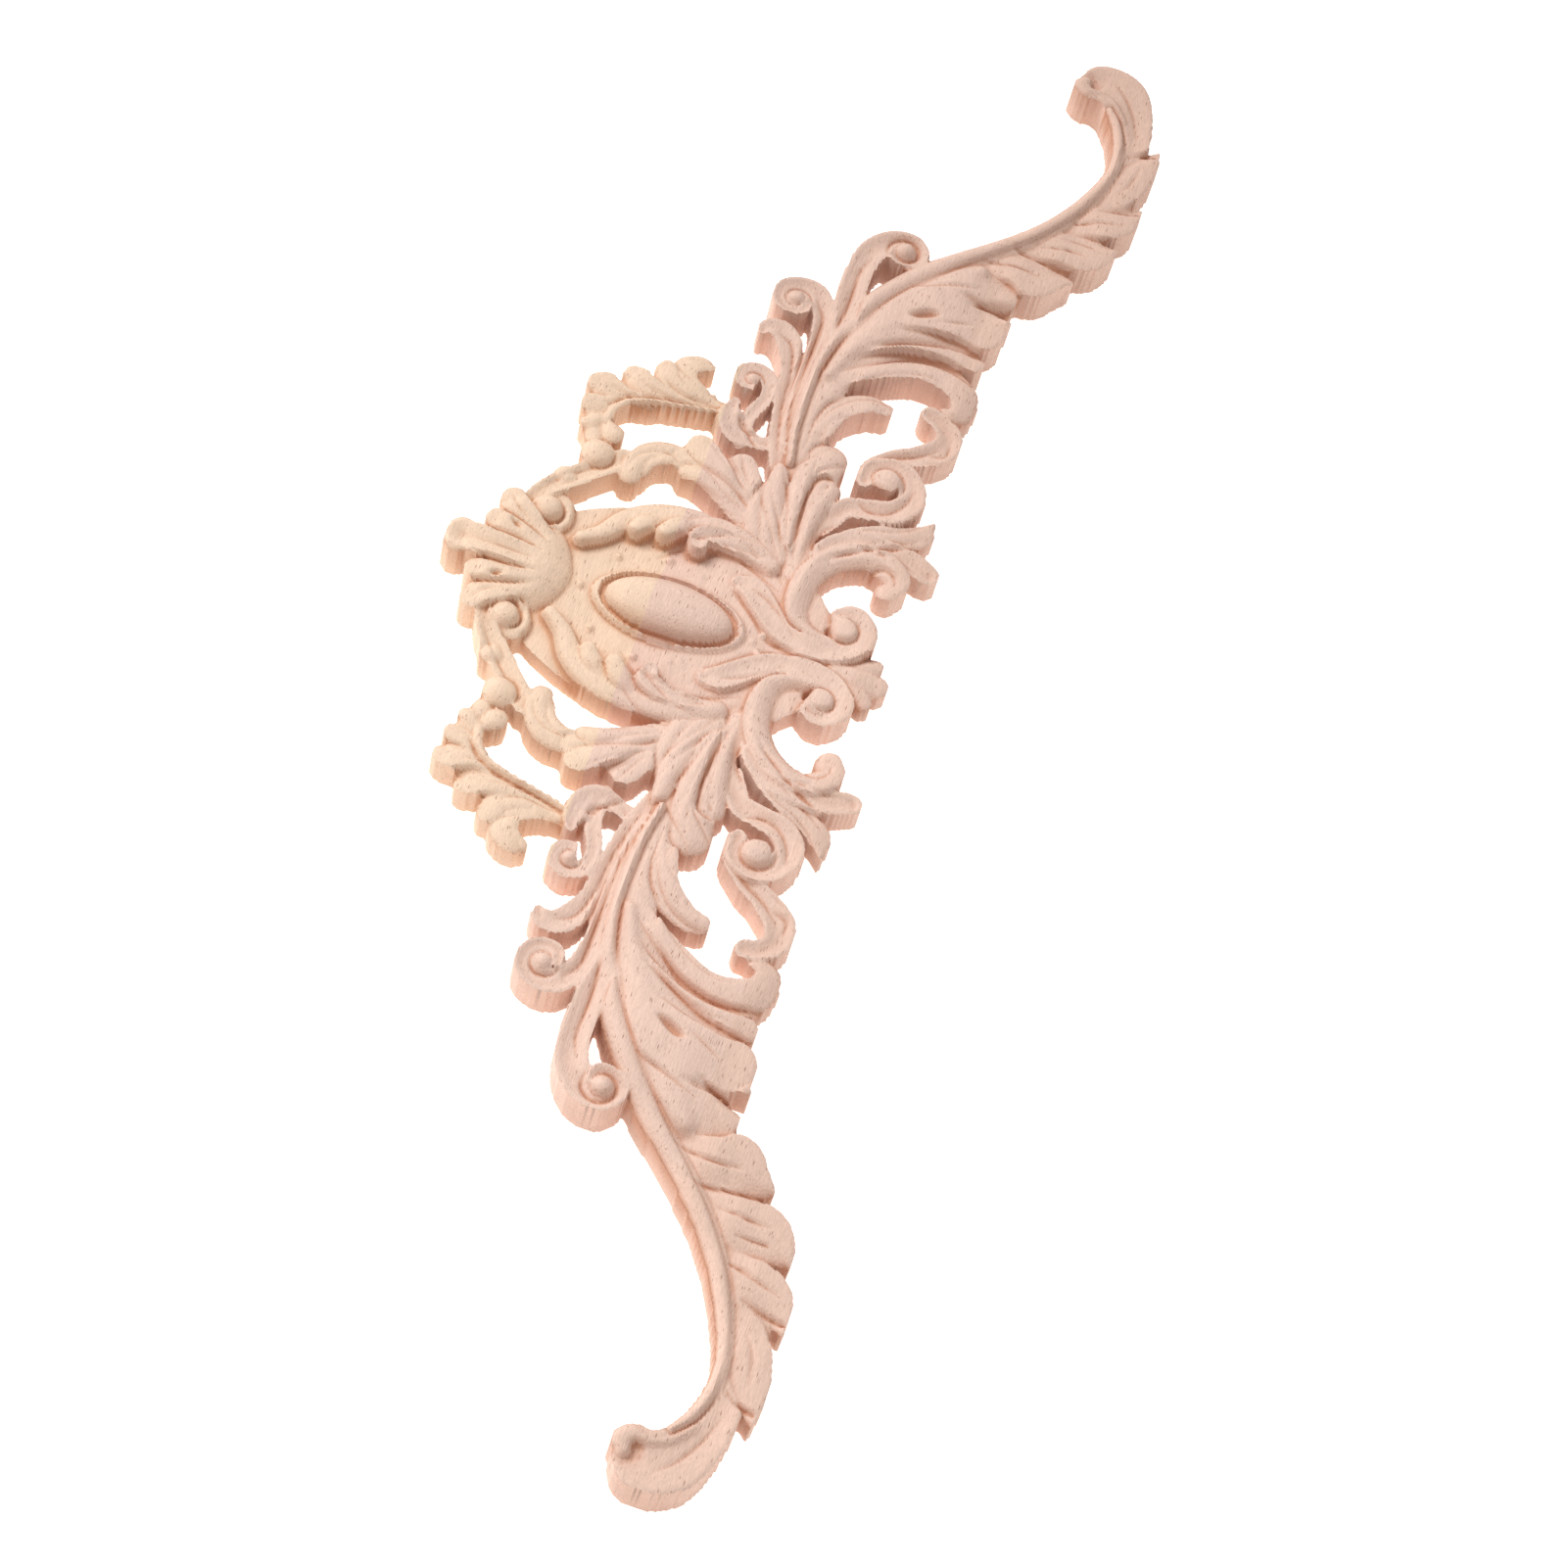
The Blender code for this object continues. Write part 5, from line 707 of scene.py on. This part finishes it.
def grid_triangles(rows, columns):
    """Two triangles for each square of a grid whose points run row by row."""
    corner = np.arange(rows * columns).reshape(rows, columns)
    a, b, c, d = corner[:-1, :-1], corner[:-1, 1:], corner[1:, 1:], corner[1:, :-1]
    lower = np.stack([a, b, c], -1).reshape(-1, 3)
    upper = np.stack([a, c, d], -1).reshape(-1, 3)
    return np.concatenate([lower, upper])


def eased(points, edges, rounds):
    """Points with each end of an edge moved, in each round, half-way to the middle of its two neighbours."""
    points = points.copy()
    rim = np.unique(edges)
    for _ in range(rounds):
        total = np.zeros_like(points)
        np.add.at(total, edges[:, 0], points[edges[:, 1]])
        np.add.at(total, edges[:, 1], points[edges[:, 0]])
        points[rim] = 0.5 * points[rim] + 0.25 * total[rim]
    return points


def within_loops(spots, starts, ends):
    """Whether each spot is inside the loops: a line to its right crosses them an odd number of times."""
    odd = np.zeros(len(spots), bool)
    for first in range(0, len(spots), BATCH):
        x, y = spots[first:first + BATCH, :, None].transpose(1, 0, 2)
        spans = (starts[:, 1] > y) != (ends[:, 1] > y)
        rise = np.where(ends[:, 1] == starts[:, 1], 1, ends[:, 1] - starts[:, 1])
        crossing = starts[:, 0] + (y - starts[:, 1]) / rise * (ends[:, 0] - starts[:, 0])
        odd[first:first + BATCH] = (spans & (crossing > x)).sum(1) % 2 == 1
    return odd


def blurred(level, there, reach):
    """Mean level of what is there, with weights that fall off as a bell curve over the reach, in points."""
    last = math.ceil(BELL_END * reach)
    weights = {k: math.exp(-0.5 * (k / reach) ** 2) for k in range(-last, last + 1)}
    total, count = level * there, there
    for axis in (0, 1):
        total = sum(weight * np.roll(total, k, axis) for k, weight in weights.items())
        count = sum(weight * np.roll(count, k, axis) for k, weight in weights.items())
    return total / np.maximum(count, TINY)


def read(grid, there, plan):
    """Values of the grid at places of the plan, between its four nearest points that are there."""
    column = (plan[:, 0] - columns[0]) / PITCH
    row = (plan[:, 1] - rows[0]) / PITCH
    total, count = np.zeros(len(plan)), np.full(len(plan), TINY)
    for up, along in ((0, 0), (0, 1), (1, 0), (1, 1)):
        r, c = row.astype(int) + up, column.astype(int) + along
        weight = (1 - np.abs(row - r)) * (1 - np.abs(column - c)) * there[r, c]
        total += weight * grid[r, c]
        count += weight
    return total / count


half = np.arange(0, HALF_LENGTH, PITCH)
columns = np.concatenate([-half[:0:-1], half])
rows = np.arange(LOWEST, HIGHEST, PITCH)
half_inside, half_level = carve(*np.meshgrid(half, rows))
inside = np.hstack([half_inside[:, :0:-1], half_inside])
level = np.hstack([half_level[:, :0:-1], half_level])
there = (inside > 0).astype(float)
# How far each place lies below what is round it, for the painted shade in recesses
hollows = BROAD_SHARE * (blurred(level, there, BROAD_REACH) - level)
hollows += NARROW_SHARE * (blurred(level, there, NARROW_REACH) - level)
level = blurred(level, there, SOFTNESS)
level -= ARRIS * np.clip(1 - inside / ARRIS_WIDTH, 0, 1) ** 2

plan = np.stack(np.meshgrid(columns, rows), -1).reshape(-1, 2)
plan, face, outline = cut_out(plan, inside.ravel(), grid_triangles(len(rows), len(columns)))
plan = eased(plan, outline, EASING_ROUNDS)
rim = np.unique(outline)
top = np.column_stack([plan, read(level, there, plan)])
foot = np.column_stack([plan[rim], np.zeros(len(rim))])
below = np.zeros(len(plan), int)
below[rim] = np.arange(len(rim)) + len(top)
starts, ends = outline[:, 0], outline[:, 1]
walls = np.concatenate([
    np.column_stack([ends, starts, below[starts]]),
    np.column_stack([ends, below[starts], below[ends]]),
])
sides = below[outline] - len(top)
fill = np.array(delaunay_2d_cdt([Vector(p[:2]) for p in foot], sides.tolist(), [], 0, MERGE)[2])
centres = foot[fill][:, :, :2].mean(1)
back = fill[within_loops(centres, foot[sides[:, 0], :2], foot[sides[:, 1], :2])][:, ::-1] + len(top)
corners = np.clip(np.concatenate([top, foot]) / MM, cad_low, cad_high)

mesh = bpy.data.meshes.new("applique_carved")
mesh.from_pydata(corners, [], np.concatenate([face, walls, back]))
mesh.shade_smooth()
mesh.set_sharp_from_angle(angle=SHARP)
# how deep each point lies in a hollow, which the wood paints as shade
hollow = mesh.attributes.new("hollow", "FLOAT", "POINT")
hollow.data.foreach_set("value", np.concatenate([read(hollows, there, plan), np.zeros(len(rim))]))
applique = bpy.data.objects.new("applique_carved", mesh)
bpy.context.scene.collection.objects.link(applique)
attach(applique, "root")
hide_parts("applique")


# Bare rubber wood, planed, routed and lightly sanded, with no oil or varnish. It is pale and matt. Its grain
# runs along X, its open pores show as short brown dashes, and each strip of the glued blank has its own tint.
CREAM = "#F2D4BA"
PINK = "#ECCBBA"
DEEP_PINK = "#E8C6B4"
# painted shade: darkens and greys the right end of the piece
FAR_SHADE_TINT = "#EAE7E6"
PORE_BROWN = "#A8745C"
# painted shade for recesses, deepest in the narrow ones
HOLLOW_SHADE_TINT = "#DCBCA6"
END_GRAIN_TINT = "#EFDDD2"
UPPER_JOINT, LOWER_JOINT = 0.005, -0.055  # of the strips, along Y

# The four ends of a map range, and a colour mix's inputs, output and settings. Its sockets go by number,
# because their names don't tell them apart.
RANGE = ("From Min", "From Max", "To Min", "To Max")
SHARE, UNDER, OVER, MIXED = 0, 6, 7, 2
BLEND = {"data_type": "RGBA"}
TINT = {"data_type": "RGBA", "blend_type": "MULTIPLY"}


def linear(hex_colour):
    """An sRGB hex colour as linear red, green, blue and alpha."""
    parts = [int(hex_colour[i:i + 2], 16) / 255 for i in (1, 3, 5)]
    return [v / 12.92 if v <= 0.04045 else ((v + 0.055) / 1.055) ** 2.4 for v in parts] + [1.0]


def add_node(tree, kind, values=(), links=(), **settings):
    """Adds a node, sets its attributes and input values, and links inputs to other nodes' outputs."""
    node = tree.nodes.new(kind)
    for name, value in settings.items():
        setattr(node, name, value)
    for key, value in dict(values).items():
        node.inputs[key].default_value = value
    for key, source in dict(links).items():
        tree.links.new(source, node.inputs[key])
    return node


def per_metre(length, width):
    """Cells of a pattern in a metre along the grain and both ways across it, from a cell's millimetres."""
    return MM / length, MM / width, MM / width


wood = bpy.data.materials.new("bare_rubber_wood")
wood.use_nodes = True
tree = wood.node_tree
tree.nodes.clear()
place = add_node(tree, "ShaderNodeTexCoord").outputs["Object"]
axes = add_node(tree, "ShaderNodeSeparateXYZ", links={0: place})

# Each strip has its own tint, which changes at a straight joint. Towards the right end the colour is painted
# darker and greyer, as painted shade where less light falls.
above = add_node(tree, "ShaderNodeMath", {1: UPPER_JOINT}, {0: axes.outputs["Y"]}, operation="GREATER_THAN")
middle = add_node(tree, "ShaderNodeMath", {1: LOWER_JOINT}, {0: axes.outputs["Y"]}, operation="GREATER_THAN")
low_strips = add_node(tree, "ShaderNodeMix", {UNDER: linear(DEEP_PINK), OVER: linear(PINK)},
                      {SHARE: middle.outputs[0]}, **BLEND)
strips = add_node(tree, "ShaderNodeMix", {OVER: linear(CREAM)},
                  {SHARE: above.outputs[0], UNDER: low_strips.outputs[MIXED]}, **BLEND)
far = add_node(tree, "ShaderNodeMapRange", zip(RANGE, (-0.02, 0.24, 0, 1)), {"Value": axes.outputs["X"]})
# the strip tints with painted shade over the right end
ends = add_node(tree, "ShaderNodeMix", {OVER: linear(FAR_SHADE_TINT)},
                {SHARE: far.outputs[0], UNDER: strips.outputs[MIXED]}, **TINT)

# Cloudy bands of growth 8 mm wide, fibres 0.35 mm wide that run along the strip, and the fuzz of the sanded
# face. Each makes the tint a little darker and lighter by turns.
noises, shades = {}, {}
for name, length, width, detail, spread in (
        ("cloud", 50, 8, 2, (0.3, 0.7, 0.95, 1.04)),
        ("fibre", 5, 0.35, 3, (0.25, 0.75, 0.87, 1.09)),
        ("fuzz", 1, 0.5, 3, (0.25, 0.75, 0.93, 1.06))):
    cells = add_node(tree, "ShaderNodeMapping", {"Scale": per_metre(length, width)}, {"Vector": place})
    noise = add_node(tree, "ShaderNodeTexNoise", {"Scale": 1, "Detail": detail}, {"Vector": cells.outputs[0]})
    shade = add_node(tree, "ShaderNodeMapRange", zip(RANGE, spread), {"Value": noise.outputs[0]})
    noises[name], shades[name] = noise.outputs[0], shade.outputs[0]
banded = add_node(tree, "ShaderNodeMath", {}, {0: shades["cloud"], 1: shades["fibre"]}, operation="MULTIPLY")
fuzzy = add_node(tree, "ShaderNodeMath", {}, {0: banded.outputs[0], 1: shades["fuzz"]}, operation="MULTIPLY")
grained = add_node(tree, "ShaderNodeMix", {SHARE: 1},
                   {UNDER: ends.outputs[MIXED], OVER: fuzzy.outputs[0]}, **TINT)

# Pores: vessels cut open along the grain, dashes about 1.5 mm long and 0.25 mm wide, some darker than others.
cells = add_node(tree, "ShaderNodeMapping", {"Scale": per_metre(4.2, 0.62)}, {"Vector": place})
pores = add_node(tree, "ShaderNodeTexVoronoi", {"Scale": 1}, {"Vector": cells.outputs[0]})
near_pore = add_node(tree, "ShaderNodeMapRange", zip(RANGE, (0.12, 0.24, 1, 0)),
                     {"Value": pores.outputs["Distance"]})
chosen = add_node(tree, "ShaderNodeSeparateColor", links={0: pores.outputs["Color"]})
some = add_node(tree, "ShaderNodeMapRange", zip(RANGE, (0.3, 0.9, 0, 0.85)), {"Value": chosen.outputs[0]})
pore = add_node(tree, "ShaderNodeMath", {}, {0: near_pore.outputs[0], 1: some.outputs[0]},
                operation="MULTIPLY")
pored = add_node(tree, "ShaderNodeMix", {OVER: linear(PORE_BROWN)},
                 {SHARE: pore.outputs[0], UNDER: grained.outputs[MIXED]}, **BLEND)

# Recesses are painted a little browner and darker than the crests, as painted shade. The mesh says how far
# each place lies below what is round it.
hollow = add_node(tree, "ShaderNodeAttribute", attribute_name="hollow")
hollow_shade_share = add_node(tree, "ShaderNodeMapRange", zip(RANGE, (0.12, 1.3, 0, 0.85)),
                     {"Value": hollow.outputs["Fac"]})
hollow_shaded = add_node(tree, "ShaderNodeMix", {OVER: linear(HOLLOW_SHADE_TINT)},
                  {SHARE: hollow_shade_share.outputs[0], UNDER: pored.outputs[MIXED]}, **TINT)

# End grain, on walls across the strip, drinks in light and is darker.
normal = add_node(tree, "ShaderNodeTexCoord").outputs["Normal"]
slopes = add_node(tree, "ShaderNodeSeparateXYZ", links={0: normal})
across = add_node(tree, "ShaderNodeMath", {}, {0: slopes.outputs["X"]}, operation="ABSOLUTE")
end_grain = add_node(tree, "ShaderNodeMapRange", zip(RANGE, (0.3, 0.95, 0, 0.5)),
                     {"Value": across.outputs[0]})
colour = add_node(tree, "ShaderNodeMix", {OVER: linear(END_GRAIN_TINT)},
                  {SHARE: end_grain.outputs[0], UNDER: hollow_shaded.outputs[MIXED]}, **TINT)

# The routed face is a little woolly: fibre and fuzz lift it and pores dent it.
woolly = add_node(tree, "ShaderNodeMath", {}, {0: noises["fibre"], 1: noises["fuzz"]}, operation="ADD")
relief = add_node(tree, "ShaderNodeMath", {}, {0: woolly.outputs[0], 1: pore.outputs[0]},
                  operation="SUBTRACT")
bump = add_node(tree, "ShaderNodeBump", {"Strength": 0.6, "Distance": 0.00025}, {"Height": relief.outputs[0]})
shader = add_node(tree, "ShaderNodeBsdfPrincipled", {"Roughness": 0.78, "Specular IOR Level": 0.25},
                  {"Base Color": colour.outputs[MIXED], "Normal": bump.outputs[0]})
add_node(tree, "ShaderNodeOutputMaterial", links={"Surface": shader.outputs["BSDF"]})
mesh.materials.append(wood)


# Studio: a pale table, soft white light from all round and a large soft box beyond the fan, above the right
# end, as in a photograph for a catalogue.
WHITE = (1, 1, 1, 1)
floor_mesh = bpy.data.meshes.new("table")
floor_mesh.from_pydata([(-3, -3, 0), (3, -3, 0), (3, 3, 0), (-3, 3, 0)], [], [(0, 1, 2, 3)])
floor = bpy.data.objects.new("table", floor_mesh)
bpy.context.scene.collection.objects.link(floor)
floor.location.z = -0.0005  # just clear of the back, so that the two don't share a plane
paint = bpy.data.materials.new("white_table_top")
paint.use_nodes = True
table_shader = paint.node_tree.nodes["Principled BSDF"]
table_shader.inputs["Base Color"].default_value = linear("#FAFAFA")
table_shader.inputs["Roughness"].default_value = 0.9
table_shader.inputs["Emission Color"].default_value = WHITE
table_shader.inputs["Emission Strength"].default_value = 0.75
floor_mesh.materials.append(paint)

world = bpy.data.worlds.new("studio")
bpy.context.scene.world = world
world.use_nodes = True
world.node_tree.nodes["Background"].inputs["Color"].default_value = WHITE
world.node_tree.nodes["Background"].inputs["Strength"].default_value = 0.57


def soft_box(name, place, target, size, watts):
    """A square area light at place that faces target."""
    light = bpy.data.lights.new(name, "AREA")
    light.size = size
    light.energy = watts
    lamp = bpy.data.objects.new(name, light)
    lamp.location = place
    lamp.rotation_mode = "QUATERNION"
    lamp.rotation_quaternion = (Vector(target) - Vector(place)).to_track_quat("-Z", "Y")
    bpy.context.scene.collection.objects.link(lamp)


soft_box("far_soft_box", (0.7, 1.6, 2.2), (0, 0, 0), 1.1, 54)

# Camera: past the left end and 57 degrees up, rolled so that the applique leans to the right in the picture.
CAMERA_PLACE = Vector((-0.60060, -0.06082, 0.86389))
CAMERA_TARGET = Vector((-0.03641, -0.04677, 0))
CAMERA_ROLL = math.radians(17.657)
LENS = 86.28

camera_data = bpy.data.cameras.new("camera")
camera_data.sensor_width = 36
camera_data.lens = LENS
camera = bpy.data.objects.new("camera", camera_data)
camera.location = CAMERA_PLACE
camera.rotation_mode = "QUATERNION"
aim = (CAMERA_TARGET - CAMERA_PLACE).to_track_quat("-Z", "Y")
camera.rotation_quaternion = aim @ Quaternion((0, 0, 1), CAMERA_ROLL)
bpy.context.scene.collection.objects.link(camera)
bpy.context.scene.camera = camera
bpy.context.scene.view_settings.view_transform = "Standard"
